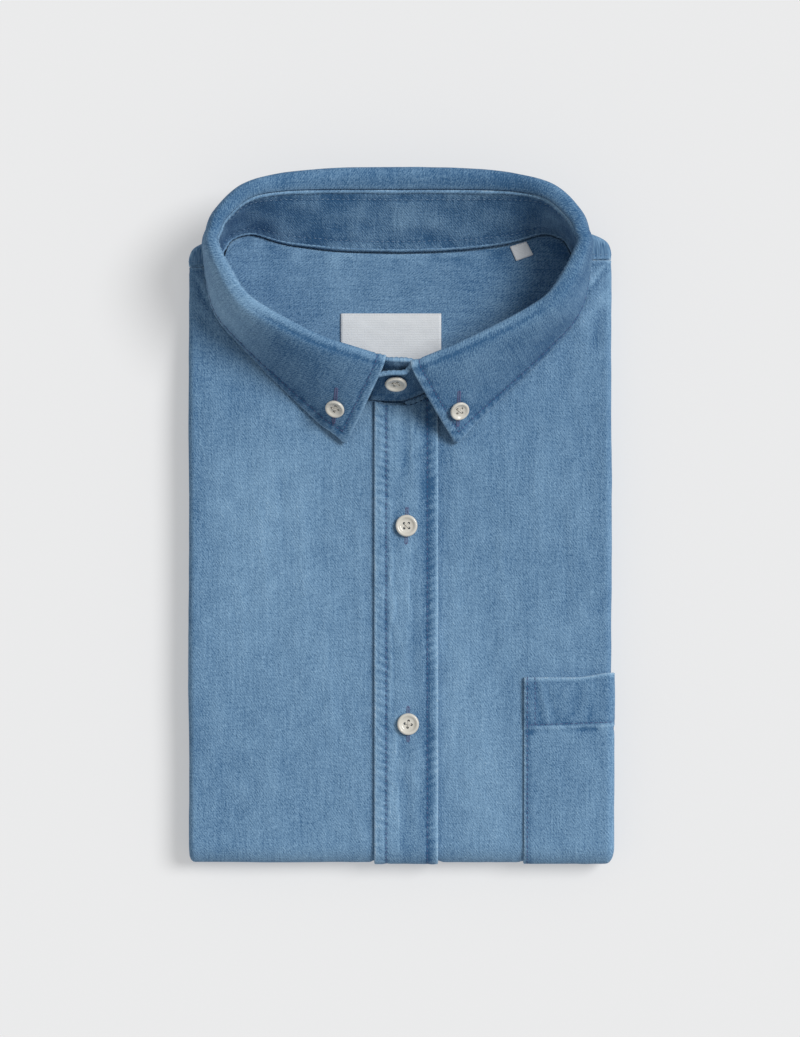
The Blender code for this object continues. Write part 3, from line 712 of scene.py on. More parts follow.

# %% [markdown]
# ## The two fronts
#
# Each front is one ply that goes from the neck and the shoulder seam down to the lower fold,
# under and back, and turns in at the side. Its wear starts with a few wide light and dark
# patches: most are a broad pattern that the wash left, two darker bands run along the side
# edges, and the two dark patches below the left collar leaf are painted shadow of the leaf.
# Rumples and creases come next.

# %% Fades, creases and what they share
# Each fade: x, y, width across, width along, strength.
FADES_AND_SHADOW = [
    (-66, 4, 30, 60, 0.17),
    (-30, -20, 12, 90, 0.08),
    (-108, -20, 9, 150, -0.20),
    (-58, -130, 50, 40, -0.03),
    (62, 20, 34, 50, -0.16),
    (42, -140, 18, 40, 0.16),
    (30, -60, 10, 60, 0.08),
    (86, -60, 16, 18, 0.10),
    # Painted shadow of the left collar leaf, on the panel below it.
    (-92, 92, 20, 36, -0.27),
    (-74, 62, 26, 24, -0.16),
    (108, -20, 9, 150, -0.12),
    (100, 60, 18, 40, -0.05),
    (99, 125, 6, 6, 0.30),
    (-60, -150, 40, 30, 0.05),
    (60, -165, 40, 20, 0.04),
]
CREASES = [
    Crease(-108, 129, -96, 106, 1.1, 0.85),
    Crease(-108, 126, -98, 103, 0.9, -0.70),
    Crease(-109, 114, -88, 90, 2.6, 0.50),
    Crease(108.5, 133, 89, 110, 1.1, 0.95),
    Crease(109.5, 131, 91, 108, 0.9, -0.95),
    Crease(109, 118, 90, 96, 2.8, 0.55),
    Crease(105, 112, 101, 84, 3.0, -0.45),
    Crease(-74, 16, -68, -52, 2.2, 0.24),
    Crease(-62, 30, -60, -30, 1.6, -0.22),
    Crease(-52, 20, -49, -48, 2.4, 0.22),
    Crease(-84, -20, -80, -92, 2.6, 0.20),
    Crease(-38, -60, -34, -140, 2.4, 0.20),
    Crease(-22, 10, -20, -70, 1.7, 0.20),
    Crease(31, 20, 29, -64, 2.0, 0.22),
    Crease(52, -2, 56, -58, 2.8, 0.26),
    Crease(70, 30, 76, -34, 3.0, 0.20),
    Crease(84, 10, 88, -60, 2.2, -0.22),
    Crease(44, -90, 42, -160, 2.2, 0.20),
    Crease(30, -96, 31, -150, 1.6, -0.18),
]


def fades_and_shadow_of(x, y):
    """The broad fades' wear, darker bands along the side edges, and the painted shadow of the left collar
    leaf.
    """
    total = np.zeros(np.broadcast(x, y).shape)
    for centre_x, centre_y, wide, tall, strength in FADES_AND_SHADOW:
        total = total + strength * bell(x - centre_x, wide) * bell(y - centre_y, tall)
    return total


def body_relief(x, y, run):
    """The height that the fronts share with the placket and pocket, and the wear it brings, with the broad
    fades and the painted shadow of the left collar leaf.
    """
    height, worn = crease_marks(x, y, CREASES)
    height = height + rumples(x, y, 11)
    calm = 1 - ease((y - 96) / 24) * (1 - ease((np.abs(x) - 88) / 8))
    flat = calm * (1 - ease(run / FOLD_LENGTH))
    return height * flat, (worn + 0.22 * height) * flat + fades_and_shadow_of(x, y)


def body_wall(name, side, places, runs, cloth, depth, extra, finish):
    """A ply of the body. extra(x, y, run) gives the piece's own height and wear."""
    across = places[:, None] + 0 * runs
    x = side * np.minimum(across, 1.0) * FLAT_HALF + side * np.clip(across - 1, 0, 1) * SIDE_ROUND
    y = FOLD_START - runs
    shared, worn = body_relief(x, y, runs)
    own, own_worn = extra(x, y, runs)
    outer = body_points(runs, side, across, depth - shared - own)
    inner = body_points(runs, side, across, depth + cloth - shared)
    threads_x = side * (np.minimum(across, 1.0) * FLAT_HALF + np.clip(across - 1, 0, 2) * 12.0)
    wear = worn + own_worn
    obj = cloth_wall(name, outer, inner, threads_x, -runs, wear, finish)
    return obj, outer


def front_runs(places, side, step, inset=0.0):
    """For each place across, the runs from the neck to where the cloth ends beneath."""
    seam = SHOULDER_SEAM[side] - GAP
    x = np.abs(side * np.minimum(places, 1.0) * FLAT_HALF - COLLAR_CENTRE)
    upper = np.where(x < NECK_REACH, np.minimum(neckline(x), seam), seam) - inset
    part = np.linspace(0, 1, math.ceil(96 / step))[None, :]
    above = run_of(upper)[:, None] * (1 - part) + run_of(30.0) * part
    turned = FOLD_LENGTH + POCKET_UNDER
    legs = [(0.0, step), (FOLD_LENGTH, 1.8), (turned, 3.0), (turned + 4.5, 1.5)]
    below = spread(run_of(30.0), *legs, (run_under(TAIL_PANEL_END), 8.0))[1:]
    return np.concatenate([above, np.repeat(below[None, :], len(places), axis=0)], axis=1)


# %% Fronts
SIDE_LEGS = [(1.0, 0.02), (2.0, 0.1), (3.0, 0.34)]


def front_marks(side):
    seam = SHOULDER_SEAM[side] - GAP

    def marks(x, y, run):
        beside = np.minimum(np.abs(x - PLACKET_LEFT), np.abs(x - PLACKET_RIGHT))
        in_placket = between(x, PLACKET_LEFT, PLACKET_RIGHT, 1.5)
        in_pocket = (x > POCKET_INNER_X - 1.5) * ease((POCKET_TOP_OUTER + 1.0 - y) / 2.0)
        clear = (1 - in_placket) * (1 - in_pocket)
        ripple = hills(y, x, 8.0, 5.0, 41 + side) * bell(beside, 5.0)
        height = 0.10 * ripple
        # Darker along the placket's edges: beside its sewn right edge this is dye kept by the seam, beside
        # its raised left edge it is painted shadow.
        wear = 0.16 * ripple - 0.17 * bell(beside, 3.0)
        # Darker on the front just left of the pocket: painted shadow of the pocket's raised edge.
        pocket_side = np.maximum(POCKET_INNER_X - x, 0) + 20 * (y > POCKET_TOP_OUTER) * (side > 0)
        wear = wear - 0.16 * bell(pocket_side, 2.4) * (side > 0)
        above_hem = np.maximum(y - POCKET_TOP_OUTER, 0) + 30 * (x < POCKET_INNER_X)
        wear = wear - 0.14 * bell(above_hem, 2.2) * (side > 0)
        seam_height, seam_wear = seam_marks(seam - y, x, 1.2, 55 + side, 0.8)
        fold = bell(run - FOLD_LENGTH * 0.3, 5.0)
        height = height + seam_height * (y > seam - 12)
        wear = wear + seam_wear * (y > seam - 12) - 0.14 * bell(seam - y - 3.5, 2.5)
        return height * clear, (wear + 0.10 * fold) * clear

    return marks


right_places = spread(-across_of(FRONTS_MEET - GAP), (0.13, 0.028), (0.98, 0.0145), *SIDE_LEGS)
left_places = spread(across_of(FRONTS_MEET + GAP), (0.98, 0.0145), *SIDE_LEGS)
front_right, right_grid = body_wall(
    "front_right_cloth", -1, right_places, front_runs(right_places, -1, 1.6), CLOTH, 0.0,
    front_marks(-1), DENIM,
)
front_left, left_grid = body_wall(
    "front_left_cloth", 1, left_places, front_runs(left_places, 1, 1.6), CLOTH, 0.0,
    front_marks(1), DENIM,
)
print("front faces:", len(front_right.data.polygons), len(front_left.data.polygons))

# %% [markdown]
# ## The button placket
#
# The placket is a strip of the wearer's left front, folded double and stitched 6 mm in from each
# side. Its left edge is free and its right edge is the fold where it meets the front. The two
# rows of stitches draw it in, so both strips pucker, and the middle keeps soft ridges along it.

# %% Placket
LEFT_STITCH, RIGHT_STITCH = 6.0, 5.4
# Each worn fold along the placket: from y, to y, x, strength, seed.
WORN_FOLDS = [
    (-96, -24, -4.6, 1.0, 93),
    (-48, -18, 5.4, 0.7, 95),
    (-170, -118, -2.5, 0.5, 97),
    (34, 52, 7.0, 0.6, 99),
]


def placket_marks(x, y, run):
    left, left_wear = seam_marks(x - PLACKET_LEFT, y, LEFT_STITCH, 71)
    right, right_wear = seam_marks(PLACKET_RIGHT - x, y, RIGHT_STITCH, 83)
    middle = between(x, PLACKET_LEFT + 8.0, PLACKET_RIGHT - 7.5, 3.0)
    ridges = 0.9 * hills(x, y, 4.6, 34.0, 91) + 0.4 * hills(x + 0.2 * y, y, 6.0, 12.0, 92)
    height = left + right + 0.26 * ridges * middle
    wear = left_wear + right_wear + 0.28 * ridges * middle - 0.07
    for start, end, place, strength, seed in WORN_FOLDS:
        path = place + 1.7 * hills(y, 0 * y, 16.0, 9.0, seed) + 0.7 * hills(y, 0 * y, 5.0, 9.0, seed + 1)
        kept = between(y, start, end, 12.0) * (0.7 + 0.5 * hills(y, 0 * y, 6.0, 9.0, seed + 2))
        fold, furrow = bell(x - path, 0.8) * kept, bell(x - path - 1.8, 0.9) * kept
        height = height + strength * (0.36 * fold - 0.18 * furrow)
        wear = wear + strength * (0.62 * fold - 0.18 * furrow)
    wear = wear - 0.46 * bell(x - PLACKET_RIGHT + 4.0, 2.5) + 0.10 * bell(x - PLACKET_LEFT - 3.0, 3.5)
    wear = wear + 0.10 * ease((-y - 100) / 40)
    return height * (1 - ease(run / FOLD_LENGTH)), wear


placket_places = spread(across_of(PLACKET_LEFT), (across_of(PLACKET_RIGHT), across_of(0.8)))
placket, placket_grid = body_wall(
    "button_placket", 1, placket_places, front_runs(placket_places, 1, 1.3, inset=1.0),
    PLACKET_CLOTH, -GAP - PLACKET_CLOTH, placket_marks, DENIM,
)
print("placket faces:", len(placket.data.polygons))

# %% [markdown]
# ## The chest pocket
#
# The pocket is a single ply sewn on, and it goes round the side fold and the lower fold with the
# front beneath it. Its opening is hemmed: the cloth turns down about 25 mm inside, so that strip
# is thicker, darker and firmer, and it puckers along the row of stitches at its lower edge.

# %% Pocket
HEM_STITCH_INNER, HEM_STITCH_OUTER = -109.4, -107.8
HEM_THICK = 0.45
CORNER_START, CORNER_SPAN, CORNER_EASED = 0.62, 0.5, 0.896
POCKET_FOLDS = [
    Crease(71.5, -82, 76.5, -104, 1.0, 0.34),
    Crease(69.8, -82, 72.5, -107, 1.0, -0.40),
    Crease(76.0, -84, 80.5, -106, 1.2, -0.24),
    Crease(88.0, -86, 87.0, -108, 1.5, 0.20),
    Crease(99.0, -84, 96.0, -108, 2.2, 0.20),
]


def pocket_top(share):
    """The y of the pocket's opening: level, then up to the outer corner."""
    climb = (POCKET_TOP_OUTER - POCKET_TOP_INNER) * ease((share - CORNER_START) / CORNER_SPAN)
    return POCKET_TOP_INNER + climb / CORNER_EASED


def hem_line(x):
    """The y of the lower edge of the pocket's hem."""
    share = (x - POCKET_INNER_X) / (HALF_WIDTH - POCKET_INNER_X)
    return HEM_STITCH_INNER + (HEM_STITCH_OUTER - HEM_STITCH_INNER) * share


def pocket_marks(x, y, run):
    share = np.clip((x - POCKET_INNER_X) / (FLAT_HALF - POCKET_INNER_X), 0, 1)
    top = pocket_top(share)
    side, side_wear = seam_marks(x - POCKET_INNER_X, y, 1.6, 101, 0.9)
    above = y - hem_line(x)
    hem = ease(above / 1.2 + 0.5)
    pucker = hills(x, above, 4.6, 5.0, 107) * bell(above + 2.0, 3.4)
    pulled = hills(x, above, 3.6, 22.0, 109) * bell(above - 4.0, 6.0) + 0.6 * hills(x, y, 7.0, 16.0, 110)
    blotch = ease(0.75 + 1.5 * hills(x, 0 * y, 5.0, 9.0, 113))
    trench = -0.30 * bell(above - 0.8, 0.8)
    lip = bell(top - y, 1.15)
    folds, folds_wear = crease_marks(x, y, POCKET_FOLDS)
    height = side + HEM_THICK * hem + 0.28 * pucker + trench + 0.20 * pulled * hem + folds
    height = height + 0.30 * bell(above + 0.9, 0.8) - 0.26 * blotch * bell(above + 2.5, 1.1)
    wear = side_wear - 0.27 * hem + 0.46 * pucker - 0.30 * bell(above - 0.8, 1.0) + 1.25 * lip
    wear = wear + 0.50 * bell(above + 0.8, 0.8) - 0.42 * blotch * bell(above + 2.5, 1.2)
    wear = wear + 0.34 * pulled * hem + 1.6 * folds_wear + 0.25 * bell(x - 108.3, 0.9) - 0.06
    wear = wear - 0.18 * bell(x - POCKET_INNER_X - 2.4, 1.4) * (1 - hem)
    return height * (1 - ease(run / FOLD_LENGTH)), wear


pocket_legs = [(1.0, 0.0125), (1.36, 0.06), (POCKET_WRAP, 0.045)]
pocket_places = spread(across_of(POCKET_INNER_X), *pocket_legs)
pocket_share = (np.minimum(pocket_places, 1.0) - pocket_places[0]) / (1.0 - pocket_places[0])
pocket_tops = pocket_top(pocket_share)
pocket_part = np.linspace(0, 1, 84)[None, :]
pocket_above = run_of(pocket_tops)[:, None] * (1 - pocket_part)
pocket_below = spread(0.0, (FOLD_LENGTH, 1.6), (FOLD_LENGTH + POCKET_UNDER, 2.4))[1:]
pocket_runs = np.concatenate(
    [pocket_above, np.repeat(pocket_below[None, :], len(pocket_places), axis=0)], axis=1
)
pocket, pocket_grid = body_wall(
    "chest_pocket_cloth", 1, pocket_places, pocket_runs, CLOTH, -GAP - CLOTH, pocket_marks, DENIM
)
print("pocket faces:", len(pocket.data.polygons))

# %% [markdown]
# ## The plies inside the fold
#
# Between the fronts lie the back, the sleeves and the tail. Only their edges can be seen, at the
# sides and at the back, so they could be left out, but then the shirt would be hollow from
# behind. They are one closed core inside the fronts, and behind it the tail's two folded edges,
# one above the other, each a rounded roll of cloth.

# %% Folded back, sleeves and tail
CORE_GAP = CLOTH + GAP
CORE_HALF = 94.5
CORE_STEP = FLAT_HALF - SIDE_TURN - GAP
CORE_X = (0, 8, 13.2, PLACKET_RIGHT + 0.3, PLACKET_RIGHT + 3, 61.6, 64, 86, CORE_HALF)


def core_loop(run):
    """One closed section of the hidden plies, inside the fronts."""
    thickness = top_height(FOLD_START - run) - LAYER_SPLIT if run < 0 else UNDER_LAYER
    y = FOLD_START - run if run < 0 else 0.0
    sunk = (top_height(y) - INNER_YOKE_TOP) * ease((y - 58) / 7) * (run < 0)
    places = [across_of(x) for x in CORE_X] + [across_of(CORE_HALF + 2), 1.0]
    places = np.array(places + [1.12, 1.25, 1.45, 1.6, 1.75, 1.9, 2.0])
    depths = np.full(len(places), CORE_GAP)
    depths[: len(CORE_X)] += sunk
    halves = []
    for side in (1, -1):
        outer = body_points(np.full(len(places), run), side, places, depths)
        step_x = np.array([CORE_STEP, CORE_STEP - 0.2, 0.0]) / FLAT_HALF
        below = thickness - np.array([CORE_GAP, 0.0, 0.0])
        inner = body_points(np.full(3, run), side, step_x, below - recess(run, side, step_x))
        halves.append(np.concatenate([outer, inner]))
    return np.concatenate([halves[0], halves[1][1:-1][::-1]])


def loft(loops):
    """Points and faces of a closed solid through matching loops."""
    count = len(loops[0])
    points, faces = np.concatenate(loops), []
    for row in range(len(loops) - 1):
        for place in range(count):
            after = (place + 1) % count
            here, there = row * count, (row + 1) * count
            faces.append((here + place, here + after, there + after, there + place))
    faces += [tuple(range(count))[::-1], tuple(range(len(points) - count, len(points)))]
    return points, faces


def tail_loop(x):
    """A section of the tail across X: two rolls, one on the other, thinner at the sides."""
    edge = np.clip((HALF_WIDTH - 0.8 - abs(x)) / 4.0, 0.0, 1.0)
    wave = float(hills(x, 0.0, 24.0, 9.0, 131))
    low_end = TAIL_END - 0.6 + 0.5 * wave
    high_end = TAIL_END - 1.6 + 0.7 * float(hills(x, 0, 31, 9, 133))
    split = UNDER_LAYER * (0.52 + 0.03 * wave)
    start = TAIL_PANEL_END + GAP
    turns = np.linspace(-math.pi / 2, math.pi / 2, 9)
    line = [(start, 0.0)]
    for low, high, end in ((0.0, split - 0.05, low_end), (split + 0.05, UNDER_LAYER, high_end)):
        radius = (high - low) / 2
        centre = (end - radius, low + radius)
        line += [(centre[0] + radius * math.cos(t), centre[1] + radius * math.sin(t)) for t in turns]
    line = np.array(line + [(start, UNDER_LAYER)])
    squeeze = math.sqrt(1 - (1 - edge) ** 2 * 0.94)
    middle = UNDER_LAYER / 2
    z = middle + (line[:, 1] - middle) * squeeze
    y = start + (line[:, 0] - start) * (0.6 + 0.4 * squeeze)
    return np.column_stack([np.full(len(line), x), y, z])


upper_runs = run_of(np.array([117.4, 96.0, 76.0, 66.0, 62.0, 58.0, 30.0, -80.0]))
turned = FOLD_LENGTH + POCKET_UNDER
fold_runs = spread(0.0, (FOLD_LENGTH, 2.5), (turned, 6), (turned + 4.5, 4.5))
core_runs = [*upper_runs, *fold_runs, run_under(TAIL_PANEL_END)]
core_points, core_faces = loft([core_loop(run) for run in core_runs])
edge_x = HALF_WIDTH - 0.8
tail_x = np.concatenate([-edge_x + np.array([0, 0.4, 1.2, 2.4]), np.linspace(-105, 105, 71)])
tail_x = np.concatenate([tail_x, edge_x - np.array([2.4, 1.2, 0.4, 0])])
tail_points, tail_faces = loft([tail_loop(x) for x in tail_x])
turned_faces = [tuple(place + len(core_points) for place in face)[::-1] for face in tail_faces]
back_points = np.concatenate([core_points, tail_points])
back_faces = core_faces + turned_faces
folded_back = add_mesh("folded_back_and_sleeves", back_points, back_faces, DENIM_SHADE)
back_wear = 0.3 * hills(back_points[:, 0], back_points[:, 2], 20, 5, 137)
add_maps(folded_back, back_points[:, 0], back_points[:, 1] + back_points[:, 2], back_wear)
print("core loops:", len(core_runs), "tail sections:", len(tail_x))

# %% [markdown]
# ## The yoke
#
# The yoke is the double piece over the shoulders. Its outer ply shows at both shoulders, where
# the fronts are sewn to it, and it turns down round its rim into the back. Its inner ply shows
# through the neck, where the label and the size tab are sewn. Both are grids of sections: the
# outer one follows its rim, and the inner one fills the neck in front of the stand's seam.

# %% Outer yoke
# Each row: rim x y, inner x y, lower ply x y, height, roundness.
YOKE_RIM = [
    (110.0, 0.0, 94.4, 0.6, 94.0, 0.3, 14.4, 3.0),
    (110.0, 4.6, 94.2, 2.4, 93.4, -0.5, 14.4, 3.0),
    (107.8, 9.4, 93.8, 5.2, 91.0, -1.8, 14.3, 3.0),
    (101.6, 13.0, 93.0, 8.6, 87.6, -5.6, 14.2, 2.8),
    (94.6, 16.2, 91.0, 12.6, 85.0, -11.5, 13.8, 2.2),
    (88.6, 20.0, 87.4, 16.6, 80.0, -11.5, 13.0, 1.5),
    (77.4, 22.9, 76.4, 19.6, 72.0, -11.5, 12.6, 1.4),
    (57.0, 18.4, 57.0, 15.2, 56.0, -11.5, 12.6, 1.4),
    (31.0, 14.8, 31.0, 11.7, 31.0, -11.5, 12.6, 1.4),
    (0.0, 13.7, 0.0, 10.5, 0.0, -11.5, 12.6, 1.4),
]
RIM_BASE = 129.9
YOKE_CLOTH = 1.1


def yoke_grid(depth):
    """The outer yoke's sections, moved in by a depth."""
    last = len(YOKE_RIM) - 1
    half = along(YOKE_RIM, np.linspace(0, last, last * 8 + 1))
    rows = np.concatenate([half, half[-2::-1]])
    side = np.concatenate([-np.ones(len(half)), np.ones(len(half) - 1)])
    seam = np.where(side > 0, SHOULDER_SEAM[1], SHOULDER_SEAM[-1]) - SHOULDER_SEAM[-1]
    base = RIM_BASE + seam * ease((np.abs(rows[:, 0]) - 80) / 25)
    out = np.column_stack([rows[:, 0] * side, rows[:, 1] + base])
    inner = np.column_stack([rows[:, 2] * side + COLLAR_CENTRE, rows[:, 3] + base])
    under = np.column_stack([rows[:, 4] * side, rows[:, 5] + base])
    tangent = np.gradient(out, axis=0)
    outward = np.column_stack([-tangent[:, 1], tangent[:, 0]])
    outward /= np.linalg.norm(outward, axis=1, keepdims=True)
    height, rounded = rows[:, 6], rows[:, 7]
    half_thick = (height - LAYER_SPLIT) / 2
    turn = out - outward * rounded[:, None]
    sections = []
    for part in np.linspace(0, 1, 8):
        plan = inner + (turn - inner) * part
        sections.append(np.column_stack([plan, height - depth]))
    for angle in np.linspace(0, math.pi, 11)[1:]:
        plan = turn + outward * (np.maximum(rounded - depth, 0.1) * math.sin(angle))[:, None]
        z = LAYER_SPLIT + half_thick + (half_thick - depth) * math.cos(angle)
        sections.append(np.column_stack([plan, z]))
    sections.append(np.column_stack([under, np.full(len(under), LAYER_SPLIT + depth)]))
    return np.stack(sections, axis=1)


yoke_outer, yoke_inner = yoke_grid(0.0), yoke_grid(YOKE_CLOTH)
yoke_map = lengths_along(yoke_outer)
seam_y = np.where(yoke_outer[..., 0] > 0, SHOULDER_SEAM[1], SHOULDER_SEAM[-1])
above_seam = yoke_outer[..., 1] - seam_y
yoke_wear = 0.26 * hills(yoke_outer[..., 0], yoke_outer[..., 1], 7.0, 5.0, 141)
yoke_wear = yoke_wear + 1.0 * bell(above_seam, 0.9) - 0.30 * bell(above_seam - 2.6, 1.5) - 0.14
yoke_x = yoke_outer[..., 0]
yoke = cloth_wall("outer_yoke", yoke_outer, yoke_inner, yoke_x, yoke_map, yoke_wear, DENIM)
print("yoke sections:", len(yoke_outer))

# %% Inner yoke
INNER_YOKE_IN = 1.6
INNER_YOKE_HALF, INNER_YOKE_LOWER, INNER_YOKE_SIDE = 94.0, 66.6, 126.0

neck_ring = collar_ring(5, 1.6)
neck_line = neck_ring["seam"] - neck_ring["out"] * INNER_YOKE_IN
yoke_side = np.array([INNER_YOKE_HALF, INNER_YOKE_SIDE, 0.0])
neck_line = np.concatenate([[yoke_side * (-1, 1, 1)], neck_line, [yoke_side]])
part = np.linspace(0, 1, 56)[None, :]
inner_x = neck_line[:, 0:1] + 0 * part
inner_y = neck_line[:, 1:2] * (1 - part) + INNER_YOKE_LOWER * part
from_seam = neck_line[:, 1:2] - inner_y
yoke_ripple = hills(inner_x, from_seam, 6.5, 4.5, 151) * bell(from_seam - 3, 5.0)
yoke_relief = 0.12 * hills(inner_x, inner_y, 18, 14, 152) + 0.10 * yoke_ripple
yoke_relief = np.minimum(yoke_relief, GAP - 0.06)
inner_top = np.stack([inner_x, inner_y, INNER_YOKE_TOP + yoke_relief], axis=-1)
inner_under = np.stack([inner_x, inner_y, 0 * inner_y + INNER_YOKE_TOP - CLOTH], axis=-1)
inner_wear_and_shadow = 0.30 * yoke_ripple + 0.14 * hills(inner_x, inner_y, 16, 24, 153)
# Darker towards the right: painted shadow cast by the collar's right wall.
inner_wear_and_shadow = inner_wear_and_shadow + 0.22 * bell(from_seam, 1.4) + 0.05 - 0.20 * ease((inner_x - 8) / 55)
inner_yoke = cloth_wall("inner_yoke_cloth", inner_top, inner_under, inner_y, -inner_x,
    inner_wear_and_shadow, DENIM_SHADE)
print("inner yoke, mm across:", round(float(np.ptp(inner_x)), 1))

# %% [markdown]
# ## The collar's stand
#
# The stand is the band that the leaf is sewn to. Its two ends lap at the front under the first
# button. Only its inside can be seen, because the leaf covers the rest, so the marks go there: a
# cord-like seam at the top, where the leaf is joined, a row of stitches below it, and another
# above the seam at the yoke.

# %% Stand
STAND_BOW = 0.7
# The upper end's top bends forward over the button.
LIP_FROM_X, LIP_START, LIP_REACH = 7.0, 0.80, 4.6


def nearest(points, line):
    """The distance from each point of a grid to a line of points."""
    line = np.asarray(line)
    flat = points.reshape(-1, 3)
    best = np.full(len(flat), np.inf)
    for point in line:
        best = np.minimum(best, np.einsum("ij,ij->i", flat - point, flat - point))
    return np.sqrt(best).reshape(points.shape[:2])


def faced_out(grid, out):
    """The grid's normals, on the side that faces away from the neck."""
    normal = normals_of(grid)
    return normal * np.sign(np.einsum("ijk,ik->ij", normal, out).sum())


stand_ring = collar_ring(len(COLLAR) - 1, 1.5)
stand_part = np.linspace(0, 1, 25)
bow = STAND_BOW * np.sin(stand_part * math.pi)
stand_mid = stand_ring["seam"][:, None] * (1 - stand_part)[None, :, None]
stand_mid = stand_mid + stand_ring["top"][:, None] * stand_part[None, :, None]
stand_mid = stand_mid + stand_ring["out"][:, None] * bow[None, :, None]
lap_end = np.arange(len(stand_mid)) > len(stand_mid) * 0.8
lip = ease((LIP_FROM_X - stand_ring["top"][:, 0]) / 5.0) * lap_end
forward = np.clip((stand_part - LIP_START) / (1 - LIP_START), 0, 1)
fall = LIP_REACH * forward**1.6
stand_mid = stand_mid + stand_ring["out"][:, None] * (lip[:, None] * fall[None, :])[..., None]
stand_out = faced_out(stand_mid, stand_ring["out"])
stand_height = arc_lengths(stand_mid, 1)[:, None]
from_seam, from_top = stand_height * stand_part, stand_height * (1 - stand_part)
stand_run = lengths_along(stand_ring["top"])
stand_x = stand_run[:, None] + 0 * stand_part
top_height_marks, top_wear = seam_marks(from_top, stand_x, 5.6, 161, 0.8)
low_height_marks, low_wear = seam_marks(from_seam, stand_x, 5.8, 171, 0.6)
stand_ripple = hills(stand_x, from_seam, 13.0, 9.0, 181) + 0.5 * hills(stand_x, from_seam, 5.0, 8.0, 183)
stand_marks = 0.7 * top_height_marks + 0.6 * low_height_marks + 0.26 * stand_ripple
stand_wear = top_wear + low_wear + 0.42 * stand_ripple - 0.17
stand_outer = stand_mid + stand_out * STAND_CLOTH / 2
stand_inner = stand_mid - stand_out * (STAND_CLOTH / 2 + np.minimum(stand_marks, 0.5)[..., None])
stand = cloth_wall("collar_stand_cloth", stand_outer, stand_inner, stand_x, from_seam,
    stand_wear, DENIM_SHADE)
print("stand, mm along its top:", round(float(stand_run[-1]), 1))

# %% [markdown]
# ## The collar's leaf
#
# The leaf rises a little over the stand, rolls, and falls to its edge, and its two tips lie on
# the chest, held by buttons. The edge is stitched 4.5 mm in all round. Both plies of the leaf
# pucker there, and the very edge is worn pale. The marks need each point's distance from the
# nearest edge, which is measured on the made grid.

# %% Leaf
EDGE_STITCH = 4.5
TIP_ROUND = 3.0
ROLL_PARTS, FALL_PARTS, UPPER_FALL = 12, 36, 18

leaf_ring = collar_ring(LEAF_END, 1.2)
up = np.array([0.0, 0.0, 1.0])
leaf_start = leaf_ring["top"] + leaf_ring["rise"] * LEAF_LIFT
crest = leaf_ring["top"] + leaf_ring["out"] * leaf_ring["roll"] + up * CREST_RISE
first = leaf_start + leaf_ring["rise"] * 1.4 + up * 0.9
brow = crest + leaf_ring["out"] * (1 + 0.8 * leaf_ring["belly"])
leaf_edge = leaf_ring["edge"]
belly = leaf_edge + 0.45 * (crest - leaf_edge) + leaf_ring["out"] * leaf_ring["belly"]
rolled = bezier([leaf_start, first, crest], np.linspace(0, 1, ROLL_PARTS + 1))
# The rows lie closer together towards the edge, where the marks are small.
fall_parts = 1 - (1 - np.linspace(0, 1, FALL_PARTS + 1)[1:]) ** 1.4
fallen = bezier([crest, brow, belly, leaf_edge], fall_parts)
leaf_mid = np.concatenate([rolled, fallen], axis=1)
leaf_out = faced_out(leaf_mid, leaf_ring["out"])
leaf_down = lengths_along(leaf_mid)
leaf_run = lengths_along(leaf_mid[:, UPPER_FALL])[:, None] + 0 * leaf_down


EDGE_POINTS, END_POINTS = 900, 160


def dense(line, count):
    """The same line with more points, evenly numbered along it."""
    places = np.linspace(0, len(line) - 1, count)
    return np.column_stack([np.interp(places, np.arange(len(line)), line[:, i]) for i in range(3)])


def rounded_tips(grid, from_edge, radius):
    """The grid with its two lower corners drawn in to an arc."""
    moved = grid.copy()
    for end in (0, -1):
        from_front = nearest(grid, dense(grid[end], END_POINTS))
        deep = [np.maximum(radius - from_edge, 0), np.maximum(radius - from_front, 0)]
        span = np.hypot(*deep)
        off = np.hypot(from_edge - radius, from_front - radius)
        centre = grid.reshape(-1, 3)[np.argmin(off)]
        in_corner = (deep[0] > 0) & (deep[1] > 0)
        scale = np.where(in_corner, np.maximum(*deep) / np.maximum(span, 1e-6), 1.0)
        moved = np.where(in_corner[..., None], centre + (grid - centre) * scale[..., None], moved)
    return moved


from_edge = nearest(leaf_mid, dense(leaf_mid[:, -1], EDGE_POINTS))
from_end = np.minimum(*(nearest(leaf_mid, dense(leaf_mid[end], END_POINTS)) for end in (0, -1)))
from_rim = np.minimum(from_edge, from_end)
leaf_height, leaf_wear_and_shading = seam_marks(from_rim, leaf_run + leaf_down * 0.6, EDGE_STITCH, 191)
leaf_ripple = hills(leaf_run, leaf_down, 24.0, 16.0, 201)
leaf_ripple = leaf_ripple + 0.5 * hills(leaf_run, leaf_down, 9.0, 7.0, 202)
roll_line = bell(leaf_down - 9.0, 4.0)
leaf_height = leaf_height + 0.16 * leaf_ripple * ease(leaf_down / 8)
# The last term tints the whole leaf darker: painted shade of its sloping faces.
leaf_wear_and_shading = leaf_wear_and_shading + 0.18 * leaf_ripple + 0.10 * roll_line - 0.40
leaf_wear_and_shading = leaf_wear_and_shading + 0.35 * bell(leaf_down - 0.8, 1.2)
leaf_x, leaf_y = leaf_mid[..., 0], leaf_mid[..., 1]
# Darker towards the back, painted shade over the right half, and a painted highlight on the left flank,
# which faces away from the sun.
leaf_wear_and_shading = leaf_wear_and_shading - 0.12 * ease((leaf_y - 132) / 22) - 0.06 * ease((leaf_x - 10) / 20)
leaf_wear_and_shading = leaf_wear_and_shading + 0.58 * ease((-leaf_x - 62) / 16) * bell(leaf_y - 108, 32.0)
